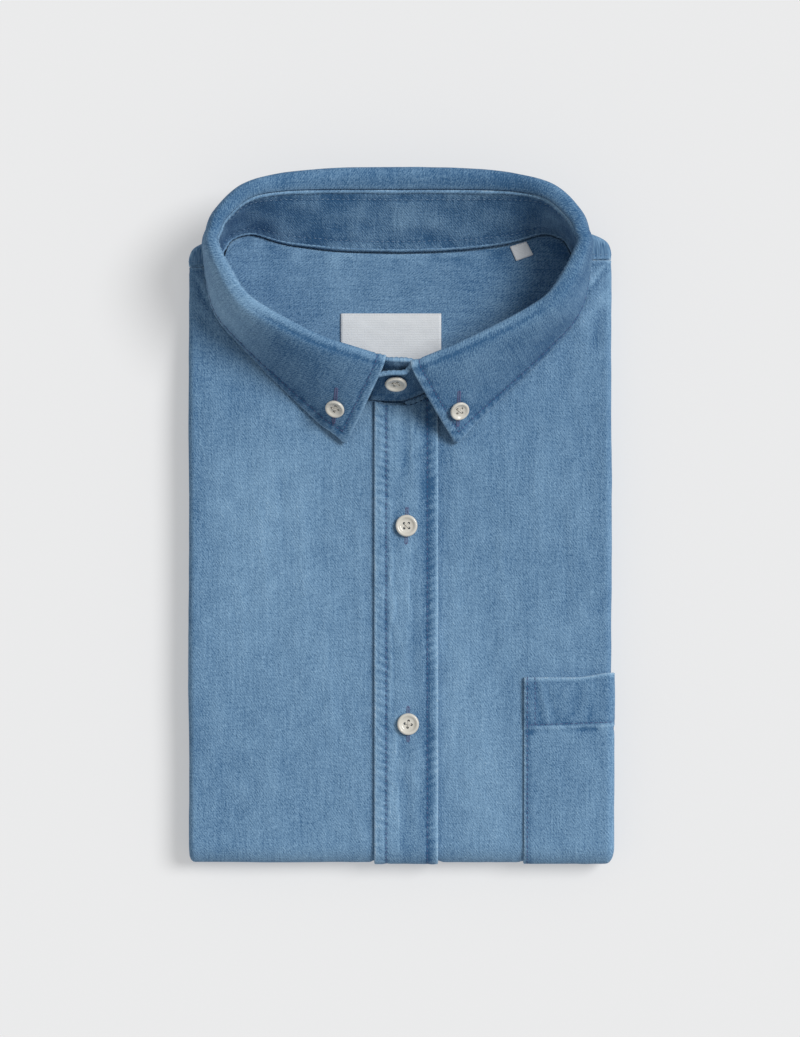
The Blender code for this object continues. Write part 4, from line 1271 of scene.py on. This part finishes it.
# Near the front the leaf is stitched along its roll too.
near_front = ease((112 - leaf_y) / 14)
leaf_height = leaf_height - 0.30 * bell(leaf_down - 5.4, 0.9) * near_front
leaf_wear_and_shading = leaf_wear_and_shading + (0.42 * bell(leaf_down - 2.6, 1.3) - 0.42 * bell(leaf_down - 5.4, 0.9)) * near_front
leaf_mid = rounded_tips(leaf_mid, from_edge, TIP_ROUND)
leaf_outer = leaf_mid + leaf_out * (LEAF_CLOTH / 2 + leaf_height[..., None])
leaf_inner = leaf_mid - leaf_out * LEAF_CLOTH / 2
leaf = cloth_wall("collar_leaf_cloth", leaf_outer, leaf_inner, leaf_run, -leaf_down,
    leaf_wear_and_shading, DENIM)
print("leaf, mm deep at the back:", round(float(leaf_down[len(leaf_down) // 2, -1]), 1))

# %% [markdown]
# ## Labels
#
# A woven label and a small size tab are sewn inside the neck. They are smooth polyester satin,
# with very fine ribs across, and stay bare here. A flat card would look like paper, so each is a
# thin grid that lies a little unevenly, with its corners held down by its stitches.

# %% Label weave
LABEL_WHITE, LABEL_GREY = (0.77, 0.79, 0.80, 1.0), (0.62, 0.64, 0.66, 1.0)

weave = Recipe("label satin")
rib = thread_map(weave, 0.9, 0.9, (0.0, 0.0, 0.0))
rib_phase = weave.add("ShaderNodeVectorMath", {"operation": "DOT_PRODUCT"},
    {0: rib, 1: (0.0, 2 * math.pi, 0.0)}, output="Value")
ribs = rib_phase.sine()
fuzz = mottle(weave, 0.6, 0.6, 3.3)
folds = mottle(weave, 9.0, 6.0, 17.0)
LABEL = weave.finish({
    "Base Color": weave.colour((0.5 + 0.12 * ribs + 0.2 * fuzz + 0.2 * folds).limited(),
        LABEL_GREY, LABEL_WHITE),
    "Roughness": (0.55 + 0.08 * fuzz).limited(),
    "Normal": weave.bump(0.02 * ribs + 0.03 * fuzz + 0.05 * folds),
    "Sheen Weight": 0.1,
})
print("label material:", LABEL.name)


# %% Labels
LABEL_CORNERS = [(-30.8, 105.5), (21.4, 105.5), (21.4, 78.5), (-30.8, 78.5)]
TAB_CORNERS = [(57.4, 140.4), (65.9, 143.0), (69.4, 136.2), (60.6, 133.0)]
LABEL_LIFT = 0.45


def sewn_label(name, corners, step, seed):
    """A thin label between four corners in plan, its first two at the sewn edge."""
    first, second, third, fourth = (np.array(corner, float) for corner in corners)
    wide, tall = np.linalg.norm(second - first), np.linalg.norm(fourth - first)
    u = np.linspace(0, 1, max(round(wide / step), 6))[:, None, None]
    v = np.linspace(0, 1, max(round(tall / step), 6))[None, :, None]
    plan = (first * (1 - u) + second * u) * (1 - v) + (fourth * (1 - u) + third * u) * v
    lift = 0.28 * (0.5 + 0.5 * hills(plan[..., 0], plan[..., 1], 11, 8, seed))
    lift = lift * ease(v[..., 0] * 6)
    base = INNER_YOKE_TOP + GAP
    upper = np.concatenate([plan, (base + LABEL_LIFT + lift)[..., None]], axis=2)
    lower = np.concatenate([plan, (base + 0.6 * lift)[..., None]], axis=2)
    x, y = (u * wide + 0 * v)[..., 0], (v * tall + 0 * u)[..., 0]
    return cloth_wall(name, upper, lower, x, -y, 0 * x, LABEL, bulge=0.1)


main_label = sewn_label("bare_neck_label", LABEL_CORNERS, 1.3, 211)
size_tab = sewn_label("bare_size_tab", TAB_CORNERS, 0.9, 223)
print("labels:", main_label.name, size_tab.name)

# %% [markdown]
# ## Stitches
#
# More than a thousand small stitches are made, all alike, so Geometry Nodes make them. Seams are
# lines of points on the cloth, and each point keeps the direction that the cloth faces there.
# The tree turns the lines into curves, steps along them at the stitch's pitch, puts one small
# thread lozenge at each step, turned to lie along the seam and face out, and makes them real.
# The same tree makes a buttonhole, whose short stitches lie across the line and almost touch.


# %% The stitch tree
def stitch_tree():
    tree = bpy.data.node_groups.new("stitches along seams", "GeometryNodeTree")
    face = tree.interface
    face.new_socket("Geometry", in_out="INPUT", socket_type="NodeSocketGeometry")
    for name in ("Length", "Width", "Pitch", "Turn"):
        face.new_socket(name, in_out="INPUT", socket_type="NodeSocketFloat")
    face.new_socket("Thread", in_out="INPUT", socket_type="NodeSocketMaterial")
    face.new_socket("Geometry", in_out="OUTPUT", socket_type="NodeSocketGeometry")

    def add(kind, settings=None, sockets=None):
        node = tree.nodes.new(kind)
        for name, value in (settings or {}).items():
            setattr(node, name, value)
        for name, value in (sockets or {}).items():
            if isinstance(value, bpy.types.NodeSocket):
                tree.links.new(value, node.inputs[name])
            else:
                node.inputs[name].default_value = value
        return node

    given = add("NodeGroupInput").outputs
    curve = add("GeometryNodeMeshToCurve", None, {"Mesh": given["Geometry"]}).outputs["Curve"]
    steps = add("GeometryNodeResampleCurve", {"mode": "LENGTH"},
        {"Curve": curve, "Length": given["Pitch"]})
    ball = add("GeometryNodeMeshUVSphere", None, {"Segments": 6, "Rings": 5, "Radius": 0.5})
    soft = add("GeometryNodeSetShadeSmooth", None, {"Geometry": ball.outputs["Mesh"]})
    facing = add("GeometryNodeInputNamedAttribute", {"data_type": "FLOAT_VECTOR"},
        {"Name": "facing"})
    tangent = add("GeometryNodeInputTangent").outputs[0]
    upright = add("FunctionNodeAlignRotationToVector", {"axis": "Z"},
        {"Vector": facing.outputs["Attribute"]})
    aimed = add("FunctionNodeAlignRotationToVector", {"axis": "X", "pivot_axis": "Z"},
        {"Rotation": upright.outputs[0], "Vector": tangent})
    spin = add("FunctionNodeAxisAngleToRotation", None,
        {"Axis": (0.0, 0.0, 1.0), "Angle": given["Turn"]})
    turned = add("FunctionNodeRotateRotation", {"rotation_space": "LOCAL"},
        {"Rotation": aimed.outputs[0], "Rotate By": spin.outputs[0]})
    uneven = add("FunctionNodeRandomValue", {"data_type": "FLOAT"}, None)
    for name, value in (("Min", 0.86), ("Max", 1.1)):
        [s for s in uneven.inputs if s.name == name and s.type == "VALUE"][0].default_value = value
    uneven.inputs["Seed"].default_value = 5
    factor = [s for s in uneven.outputs if s.type == "VALUE"][0]
    long = add("ShaderNodeMath", {"operation": "MULTIPLY"})
    tree.links.new(given["Length"], long.inputs[0])
    tree.links.new(factor, long.inputs[1])
    size = add("ShaderNodeCombineXYZ", None,
        {"X": long.outputs[0], "Y": given["Width"], "Z": given["Width"]})
    placed = add("GeometryNodeInstanceOnPoints", None, {
        "Points": steps.outputs["Curve"], "Instance": soft.outputs["Geometry"],
        "Rotation": turned.outputs[0], "Scale": size.outputs[0],
    })
    real = add("GeometryNodeRealizeInstances", None, {"Geometry": placed.outputs[0]})
    finished = add("GeometryNodeSetMaterial", None,
        {"Geometry": real.outputs[0], "Material": given["Thread"]})
    add("NodeGroupOutput", None, {"Geometry": finished.outputs[0]})
    return tree


STITCHES = stitch_tree()
print("stitch tree nodes:", len(STITCHES.nodes))

# %% Thread
PLY_PITCH, THREAD_LENGTHS = 0.5, 9.0


def thread(name, dark, light):
    """Twisted sewing thread: fine bands round it, and light and dark lengths."""
    recipe = Recipe(name)
    twist = space_noise(recipe, PLY_PITCH, 1.0)
    length = space_noise(recipe, THREAD_LENGTHS, 1.0)
    tone = (0.5 + 0.3 * twist + 0.35 * length).limited()
    return recipe.finish({
        "Base Color": recipe.colour(tone, dark, light),
        "Roughness": (0.62 + 0.1 * twist).limited(),
        "Normal": recipe.bump(0.03 * twist),
    })


BLUE_THREAD = thread("blue seam thread", (0.030, 0.050, 0.15, 1.0), (0.13, 0.16, 0.32, 1.0))
MAUVE_THREAD = thread("mauve thread", (0.060, 0.070, 0.17, 1.0), (0.16, 0.16, 0.31, 1.0))
SOFT_THREAD = thread("soft blue thread", (0.10, 0.20, 0.34, 1.0), (0.30, 0.42, 0.56, 1.0))
CREAM_THREAD = thread("cream thread", (0.50, 0.47, 0.42, 1.0), (0.74, 0.71, 0.65, 1.0))
print("threads: blue, mauve, soft blue and cream")


# %% Seam lines
def from_above(obj):
    """A search tree of a piece, in model metres."""
    return BVHTree.FromObject(obj, bpy.context.evaluated_depsgraph_get())


def laid_on(tree, plan, lift):
    """Points in metres where a line in plan meets a piece from above, and the way it faces."""
    found = []
    for x, y in plan:
        start = Vector(in_metres((x, y, 100.0)))
        place, normal, _, _ = tree.ray_cast(start, Vector((0, 0, -1)))
        if place is not None:
            found.append((place + normal * lift * MM, normal))
    return [np.array([tuple(row[i]) for row in found]) for i in (0, 1)]


def line_between(ends, step=1.0):
    """A line in plan through these ends, with points at most step apart."""
    points = [np.array(ends[0], float)]
    for end in ends[1:]:
        end = np.array(end, float)
        count = max(math.ceil(np.linalg.norm(end - points[-1]) / step), 1)
        start = points[-1]
        points += [start + (end - start) * part for part in np.linspace(0, 1, count + 1)[1:]]
    return points


def level_line(grid, facing, measure, level, keep, lift):
    """Where a measure first reaches a level along each row of a grid, in metres, and its facing."""
    places, normals = [], []
    for row in range(len(grid)):
        hit = np.nonzero((measure[row, :-1] - level) * (measure[row, 1:] - level) <= 0)[0]
        hit = [column for column in hit if keep[row, column]]
        if not hit:
            continue
        column = hit[-1]
        change = measure[row, column + 1] - measure[row, column]
        share = (level - measure[row, column]) / change if change else 0.0
        point = grid[row, column] * (1 - share) + grid[row, column + 1] * share
        places.append(in_metres(point + facing[row, column] * lift))
        normals.append(facing[row, column])
    return np.array(places), np.array(normals)


def sew(name, lines, length, width, pitch, finish, turn=0.0):
    """Stitches along lines of (points, facing), made by the stitch tree and then made plain."""
    points = np.concatenate([line[0] for line in lines])
    facing = np.concatenate([line[1] for line in lines])
    edges, start = [], 0
    for line in lines:
        edges += [(start + i, start + i + 1) for i in range(len(line[0]) - 1)]
        start += len(line[0])
    mesh = bpy.data.meshes.new(name)
    mesh.from_pydata(points, edges, [])
    layer = mesh.attributes.new("facing", "FLOAT_VECTOR", "POINT")
    layer.data.foreach_set("vector", facing.astype(np.float32).ravel())
    obj = bpy.data.objects.new(name, mesh)
    bpy.context.collection.objects.link(obj)
    modifier = obj.modifiers.new("stitches", "NODES")
    modifier.node_group = STITCHES
    values = {"Length": length * MM, "Width": width * MM, "Pitch": pitch * MM}
    values |= {"Turn": turn, "Thread": finish}
    for socket in STITCHES.interface.items_tree:
        if socket.in_out == "INPUT" and socket.name in values:
            modifier[socket.identifier] = values[socket.name]
    bpy.context.view_layer.update()
    made = bpy.data.meshes.new_from_object(obj.evaluated_get(bpy.context.evaluated_depsgraph_get()))
    obj.modifiers.clear()
    obj.data = made
    bpy.data.meshes.remove(mesh)
    print(name, "faces:", len(made.polygons))
    return obj


placket_tree, pocket_tree, yoke_tree = from_above(placket), from_above(pocket), from_above(yoke)
SEAM_LIFT = 0.05
left_x, right_x = PLACKET_LEFT + LEFT_STITCH, PLACKET_RIGHT - RIGHT_STITCH
placket_lines = [
    laid_on(placket_tree, line_between([(left_x, 61.0), (left_x, -186.0)]), SEAM_LIFT),
    laid_on(placket_tree, line_between([(right_x, 66.0), (right_x, -186.0)]), SEAM_LIFT),
]
hem_ends = [(66.0, hem_line(66.0) + 0.8), (109.4, hem_line(109.4) + 0.8)]
pocket_lines = [
    laid_on(pocket_tree, line_between([(66.2, -84.6), (66.2, -186.0)]), SEAM_LIFT),
    laid_on(pocket_tree, line_between([(70.2, -84.4), (70.2, -107.6)]), SEAM_LIFT),
    laid_on(pocket_tree, line_between(hem_ends), SEAM_LIFT),
]
yoke_lines = [
    laid_on(yoke_tree, line_between([(-110, 132.6), (-96, 132.9)]), SEAM_LIFT),
    laid_on(yoke_tree, line_between([(95, 136.4), (110, 136.2)]), SEAM_LIFT),
]
print("plan seams:", len(placket_lines) + len(pocket_lines) + len(yoke_lines))

# %% Stitches on the cloth
leaf_face, stand_face = leaf_out, -stand_out
on_sides = from_end > EDGE_STITCH
leaf_bottom = level_line(leaf_outer, leaf_face, from_edge, EDGE_STITCH, on_sides, SEAM_LIFT)
half_rows = len(leaf_outer) // 2


def front_line(rows, end):
    """The stitches' line along one front edge of the leaf, over the rows of its half."""
    grid, face = (values[rows].transpose(1, 0, 2)[2:] for values in (leaf_outer, leaf_face))
    measure = nearest(leaf_mid[rows], dense(leaf_mid[end], END_POINTS)).T[2:]
    inside = from_edge[rows].T[2:] > EDGE_STITCH
    return level_line(grid, face, measure, EDGE_STITCH, inside, SEAM_LIFT)


end_lines = [front_line(slice(0, half_rows), 0), front_line(slice(-1, half_rows, -1), -1)]
leaf_stitches = sew("leaf_stitches", [leaf_bottom, *end_lines], 1.9, 0.42, 2.5, BLUE_THREAD)
always = np.ones(stand_inner.shape[:2], bool)
stand_lines = [
    level_line(stand_inner, stand_face, from_top, 5.6, always, SEAM_LIFT),
    level_line(stand_inner, stand_face, from_seam, 5.8, always, SEAM_LIFT),
]
stand_stitches = sew("stand_stitches", stand_lines, 1.8, 0.30, 2.7, SOFT_THREAD)
body_stitches = sew("placket_and_pocket_stitches", placket_lines + pocket_lines, 1.9, 0.42, 2.5,
    BLUE_THREAD)
yoke_stitches = sew("shoulder_stitches", yoke_lines, 1.8, 0.32, 2.7, SOFT_THREAD)

label_tree, tab_tree = from_above(main_label), from_above(size_tab)
label_line = laid_on(label_tree, line_between([(-30.2, 104.8), (20.8, 104.8)]), 0.02)
tab_line = laid_on(tab_tree, line_between([(57.9, 139.9), (65.6, 142.3)], 0.5), 0.02)
label_stitches = sew("label_stitches", [label_line, tab_line], 0.8, 0.26, 1.3, CREAM_THREAD)

# %% [markdown]
# ## Seam cords
#
# Where the stand meets the leaf and the yoke, the turned-in edges make a firm roll under the
# cloth, which the wash bares in a rope-like pattern. A painted line would lie flat, so each roll
# is a thin tube along the seam, half sunk in the cloth, with a twisted ridge round it.

# %% Cords
CORD_TURNS, CORD_STEP, CORD_TWIST = 8, 0.42, 2.6
ROLL_OUT, ROLL_TOP, SHOULDER_ROLL_UP = 2.1, 122.0, 0.7
# Shares of the way round the stand: the right roll ends at one, the left starts after the other.
RIGHT_ROLL_END, LEFT_ROLL_START = 0.86, 0.6


def add_tube(points, faces, loops):
    """Add a closed tube through these loops to a mesh's points and faces."""
    tube, tube_faces = loft(loops)
    faces += [tuple(place + len(points) for place in face) for face in tube_faces]
    points += list(tube)


def cord(name, lines, radii):
    """Closed tubes of denim along lines of (points, facing) in metres, each with its radius."""
    points, faces, across, run = [], [], [], []
    turns = np.linspace(0, 2 * math.pi, CORD_TURNS, endpoint=False)
    for (places, facing), radius in zip(lines, radii):
        length = lengths_along(places) / MM
        steps = np.linspace(0, length[-1], max(math.ceil(length[-1] / CORD_STEP), 2))
        path, face = (np.column_stack([np.interp(steps, length, values[:, i]) for i in range(3)])
            for values in (places / MM - SHIFT, facing))
        ahead = np.gradient(path, axis=0)
        side = np.cross(ahead, face)
        side /= np.linalg.norm(side, axis=1, keepdims=True)
        taper = np.sqrt(np.clip(np.minimum(steps, steps[-1] - steps) / 1.2, 0.05, 1.0))
        swell = 1 + 0.20 * np.sin(turns[None, :] + 2 * math.pi * steps[:, None] / CORD_TWIST)
        swell = swell + 0.15 * hills(steps[:, None], turns[None, :], 7.0, 3.0, 231)
        reach = radius * taper[:, None] * swell
        loops = path[:, None] + reach[..., None] * (
            np.cos(turns)[None, :, None] * face[:, None] + np.sin(turns)[None, :, None] * side[:, None]
        )
        add_tube(points, faces, list(loops))
        across += list(np.broadcast_to(turns * radius, reach.shape).ravel())
        run += list(np.broadcast_to(steps[:, None], reach.shape).ravel())
    made = add_mesh(name, points, faces, DENIM)
    add_maps(made, across, run, 0.10 + 0.22 * hills(np.array(run), np.array(across), 6.0, 5.0, 233))
    return made


top_line = level_line(stand_inner, stand_face, from_top, 0.9, always, -0.1)
low_line = level_line(stand_inner, stand_face, from_seam, 1.0, always, -0.1)

# The roll between the stand and the fronts' neck edges, raised where it crosses the placket.
stand_seam = stand_ring["seam"]
roll_path = stand_seam + stand_ring["out"] * ROLL_OUT
roll_path[:, 2] += 0.9 * between(roll_path[:, 0], PLACKET_LEFT, PLACKET_RIGHT, 3.0) - 0.5
ring_share = np.arange(len(roll_path)) / len(roll_path)
at_front = stand_seam[:, 1] < ROLL_TOP
right_part = at_front & (ring_share < RIGHT_ROLL_END) & (roll_path[:, 0] < COLLAR_CENTRE + 5.0)
left_part = at_front & (ring_share > LEFT_ROLL_START) & (stand_seam[:, 0] > 2.0)
neck_rolls = [
    (in_metres(roll_path[part]), np.tile(up, (np.count_nonzero(part), 1)))
    for part in (right_part, left_part)
]
shoulder_ends = [(side, SHOULDER_SEAM[side] + SHOULDER_ROLL_UP) for side in (-1, 1)]
shoulder_rolls = [
    laid_on(yoke_tree, line_between([(side * 109.2, y), (side * 92.0, y)]), -0.15)
    for side, y in shoulder_ends
]
cord_lines = [top_line, low_line, *neck_rolls, *shoulder_rolls]
seam_cords = cord("seam_cords", cord_lines, [0.78, 0.72, 1.35, 1.35, 0.66, 0.66])
print("seam cords:", len(seam_cords.data.polygons), "faces")

# %% [markdown]
# ## Buttonholes and buttons
#
# A buttonhole is a slit with close stitches on both sides and a bar at each end. Most of it is
# under its button, so only its two ends show. The buttons are turned from a pearly cream resin:
# a raised rim, a dished middle and four holes. A lathe shape is a ring of points for each step
# of its profile, and the holes are cut from it. Each finished button is then laid where the
# packed one is, whose centre and tilt are read from its mesh.

# %% Buttonholes
HOLE_HALF_WIDTH = 0.55
# Each buttonhole: x, y of its middle, its half length, and how far its ends lean.
BUTTONHOLES = [
    (placket_tree, 3.4, -5.0, 8.9, 0.2),
    (placket_tree, 4.2, -108.0, 8.6, 0.0),
    (from_above(leaf), -33.6, 57.0, 8.4, 0.8),
    (from_above(leaf), 30.2, 55.4, 8.4, 0.3),
]


def slit_line(x, y, half, lean):
    """The stadium round a slit, in plan."""
    turns = np.linspace(0, math.pi, 7)
    top = [(HOLE_HALF_WIDTH * math.cos(t), half + HOLE_HALF_WIDTH * math.sin(t)) for t in turns]
    loop = top + [(-u, -v) for u, v in top]
    loop.append(loop[0])
    return [(x + u + lean * v / half, y + v) for u, v in loop]


slits = [laid_on(tree, line_between(slit_line(*rest), 0.5), 0.06) for tree, *rest in BUTTONHOLES]
buttonholes = sew("buttonholes", slits, 1.1, 0.30, 0.40, MAUVE_THREAD, turn=math.pi / 2)

# %% Pearl
pearl = Recipe("cream pearl")
clouds = space_noise(pearl, 4.5, 3.0)
grainy = space_noise(pearl, 0.6, 2.0)
PEARL = pearl.finish({
    "Base Color": pearl.colour((0.5 + 0.32 * clouds + 0.12 * grainy).limited(),
        (0.50, 0.47, 0.40, 1.0), (0.74, 0.72, 0.66, 1.0)),
    "Roughness": (0.30 + 0.10 * grainy).limited(0.1, 0.6),
    "Normal": pearl.bump(0.012 * grainy),
    "Coat Weight": 0.3,
    "Coat Roughness": 0.12,
})
print("pearl material:", PEARL.name)

# %% Buttons
# Each step down the profile: share of the radius, height.
BUTTON_PROFILE = [
    (0.16, 1.50), (0.34, 1.51), (0.48, 1.56), (0.58, 1.68), (0.66, 1.98), (0.72, 2.32), (0.79, 2.52),
    (0.86, 2.58), (0.92, 2.48), (0.97, 2.20), (1.00, 1.80), (0.99, 1.40), (0.94, 0.80), (0.84, 0.32),
    (0.72, 0.06), (0.40, 0.0),
]
# Each button: its width across, and how far it is turned.
BUTTONS = {
    "stand_button": (11.4, 0.3),
    "collar_button_right": (10.2, 0.5),
    "collar_button_left": (10.2, 0.1),
    "front_button_upper": (11.4, 0.05),
    "front_button_lower": (11.4, 0.62),
}
BUTTON_TURNS, EYE_TURNS, EYE_PLACE, EYE_RADIUS = 72, 16, 1.25, 0.66


def ring_points(radius, height, count, centre=(0.0, 0.0)):
    """Points round a circle at a height."""
    angles = np.linspace(0, 2 * math.pi, count, endpoint=False)
    x, y = centre[0] + radius * np.cos(angles), centre[1] + radius * np.sin(angles)
    return np.column_stack([x, y, np.full(count, height)])


def plain_mesh(name, points, faces, finish):
    """Like add_mesh, but the points stay in millimetres about their own origin."""
    return add_mesh(name, np.asarray(points) - SHIFT, faces, finish)


def button_frame(node):
    """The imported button's back centre, in metres, and the way it faces."""
    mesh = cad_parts[node].data
    points = np.array([vertex.co for vertex in mesh.vertices])
    middle = points.mean(axis=0)
    facing = np.linalg.svd(points - middle, full_matrices=False)[2][2]
    facing *= math.copysign(1.0, facing[2])
    depth = points @ facing
    back = points[depth < depth.min() + 0.02 * MM].mean(axis=0)
    return Vector(back), Vector(facing)


def make_button(node, across):
    """A turned button with four eyes cut through it."""
    radius = across / 2
    loops = [ring_points(share * radius, height, BUTTON_TURNS) for share, height in BUTTON_PROFILE]
    points, faces = loft(loops)
    button = plain_mesh(node + "_pearl", points, faces, PEARL)
    for x in (-EYE_PLACE, EYE_PLACE):
        for y in (-EYE_PLACE, EYE_PLACE):
            loops = [ring_points(EYE_RADIUS, z, EYE_TURNS, (x, y)) for z in (3.5, -1.0)]
            cutter = plain_mesh("eye_cutter", *loft(loops), PEARL)
            modifier = button.modifiers.new("eye", "BOOLEAN")
            modifier.operation, modifier.solver, modifier.object = "DIFFERENCE", "EXACT", cutter
            graph = bpy.context.evaluated_depsgraph_get()
            cut = bpy.data.meshes.new_from_object(button.evaluated_get(graph))
            button.modifiers.clear()
            button.data = cut
            bpy.data.objects.remove(cutter)
    button.data.shade_smooth()
    button.data.set_sharp_from_angle(angle=math.radians(40))
    return button


def make_cross(node):
    """The thread through a button's eyes: two bars that cross, each down into its eyes."""
    points, faces = [], []
    turns = np.linspace(0, 2 * math.pi, 8, endpoint=False)
    for lean, lift in ((1.0, 0.0), (-1.0, 0.16)):
        end = EYE_PLACE - 0.12
        share = np.array([-1, -1, -0.72, -0.4, 0, 0.4, 0.72, 1, 1])
        height = np.array([0.2, 1.3, 1.62, 1.72, 1.76, 1.72, 1.62, 1.3, 0.2]) + lift
        arch = np.column_stack([share * end, share * end * lean, height])
        run = np.gradient(arch, axis=0)
        run /= np.linalg.norm(run, axis=1, keepdims=True)
        side = np.array([-lean, 1.0, 0.0]) / math.sqrt(2)
        loops = [
            place + 0.24 * (np.cos(turns)[:, None] * side + np.sin(turns)[:, None] * np.cross(ahead, side))
            for place, ahead in zip(arch, run)
        ]
        add_tube(points, faces, loops)
    return plain_mesh(node + "_thread", points, faces, CREAM_THREAD)


buttons, button_threads = {}, {}
for node, (across, spin_angle) in BUTTONS.items():
    back, facing = button_frame(node)
    turn = Vector((0, 0, 1)).rotation_difference(facing).to_matrix().to_4x4()
    turn.translation = back
    spin = Vector((math.cos(spin_angle), math.sin(spin_angle), 0))
    spun = Vector((1, 0, 0)).rotation_difference(spin).to_matrix().to_4x4()
    for kind, made in (("button", make_button(node, across)), ("thread", make_cross(node))):
        made.data.transform(turn @ spun)
        (buttons if kind == "button" else button_threads)[node] = made
    print(node, "faces:", len(buttons[node].data.polygons))

# %% [markdown]
# ## The floor
#
# A floor could be one white plane, but real paper has a faint tooth that softens a shadow's edge.
# It is a wide grid with a very slight mottle, and it glows a little, as a table lit from below
# does, which keeps the shadows on it light.

# %% Floor
FLOOR_HALF = 8.0
FLOOR_GLOW = 0.35
FLOOR_LEVEL = -0.05
FLOOR_STEPS = 12
PAPER_TOOTH = 10 / 9
paper = Recipe("pale paper")
tooth = space_noise(paper, PAPER_TOOTH, 3.0, gain=2.0)
PAPER = paper.finish({
    "Base Color": paper.colour((0.5 + 0.3 * tooth).limited(),
        (0.472, 0.472, 0.474, 1.0), (0.488, 0.488, 0.490, 1.0)),
    "Emission Color": (1.0, 0.998, 0.996, 1.0),
    "Emission Strength": FLOOR_GLOW,
    "Roughness": (0.92 + 0.04 * tooth).limited(),
    "Normal": paper.bump(0.004 * tooth),
    "Specular IOR Level": 0.1,
})
floor_side = np.linspace(-FLOOR_HALF, FLOOR_HALF, FLOOR_STEPS + 1) / MM
floor_x, floor_y = np.meshgrid(floor_side, floor_side, indexing="ij")
floor_z = np.full_like(floor_x, FLOOR_LEVEL)
floor_points = np.stack([floor_x, floor_y, floor_z], axis=-1).reshape(-1, 3)
floor_corner = np.arange((FLOOR_STEPS + 1) ** 2).reshape(FLOOR_STEPS + 1, -1)
floor_faces = np.stack(
    [floor_corner[:-1, :-1], floor_corner[1:, :-1], floor_corner[1:, 1:], floor_corner[:-1, 1:]],
    axis=-1,
).reshape(-1, 4).tolist()
floor_mesh = bpy.data.meshes.new("paper_floor")
floor_mesh.from_pydata(in_metres(floor_points), [], floor_faces)
floor_mesh.materials.append(PAPER)
floor = bpy.data.objects.new("paper_floor", floor_mesh)
bpy.context.collection.objects.link(floor)
print("floor, m across:", 2 * FLOOR_HALF)

# %% [markdown]
# ## What each piece stands for
#
# The imported solids stay, hidden, and each made piece rides on the one body in place of the one
# it stands for. The imported solids stay for collision, and each made piece says which one it
# stands for, which finish it takes, and that it rides on the one body. The cut of each piece of
# cloth is measured too: its longest measures across and along, which are printed, and its true
# area, because few are rectangles.

# %% Pieces and the nodes they replace
CLOTHS = {
    "folded_layers": folded_back,
    "front_right": front_right,
    "front_left": front_left,
    "front_placket": placket,
    "chest_pocket": pocket,
    "back_yoke": yoke,
    "inner_yoke": inner_yoke,
    "collar_stand": stand,
    "collar_leaf": leaf,
}
LABELS = {"main_label": main_label, "size_tab": size_tab}
SEWN = [leaf_stitches, stand_stitches, body_stitches, yoke_stitches, seam_cords, buttonholes]

for slot, pieces in (("denim", CLOTHS), ("label_weave", LABELS), ("pearl_button", buttons)):
    for node, piece in pieces.items():
        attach(piece, BODY)
        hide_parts(node)
for piece in SEWN:
    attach(piece, BODY)
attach(label_stitches, BODY)
for piece in button_threads.values():
    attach(piece, BODY)
print("pieces:", len(CLOTHS) + len(LABELS) + len(buttons) + len(SEWN) + 1 + len(button_threads))


# %% Sheets of cloth
LABEL_CUT, TAB_CUT = (0.0522, 0.027), (0.0103, 0.0100)


def cut_of(grid, obj):
    """The longest measures of a grid's cut and its area, in metres."""
    area = sum(face.area for face in obj.data.polygons) / 2
    wide = float(arc_lengths(grid, 0).max()) * MM
    tall = float(arc_lengths(grid, 1).max()) * MM
    return (wide, tall), min(area, wide * tall)


SHEETS = [
    (front_right, right_grid, "folded", ["folded_back_and_sleeves"]),
    (front_left, left_grid, "folded", ["folded_back_and_sleeves"]),
    (placket, placket_grid, "folded", ["front_left_cloth", "front_right_cloth"]),
    (pocket, pocket_grid, "folded", ["front_left_cloth"]),
    (yoke, yoke_outer, "folded", ["folded_back_and_sleeves"]),
    (inner_yoke, inner_top, "laid", ["folded_back_and_sleeves"]),
    (stand, stand_outer, "folded", ["inner_yoke_cloth"]),
    (leaf, leaf_outer, "folded", ["collar_stand_cloth"]),
    (main_label, LABEL_CUT, "laid", ["inner_yoke_cloth"]),
    (size_tab, TAB_CUT, "laid", ["inner_yoke_cloth"]),
]
for piece, made, held, rests_on in SHEETS:
    size, area = (made, None) if isinstance(made, tuple) else cut_of(made, piece)
    print(piece.name, "cut, mm:", [round(v / MM, 1) for v in size])
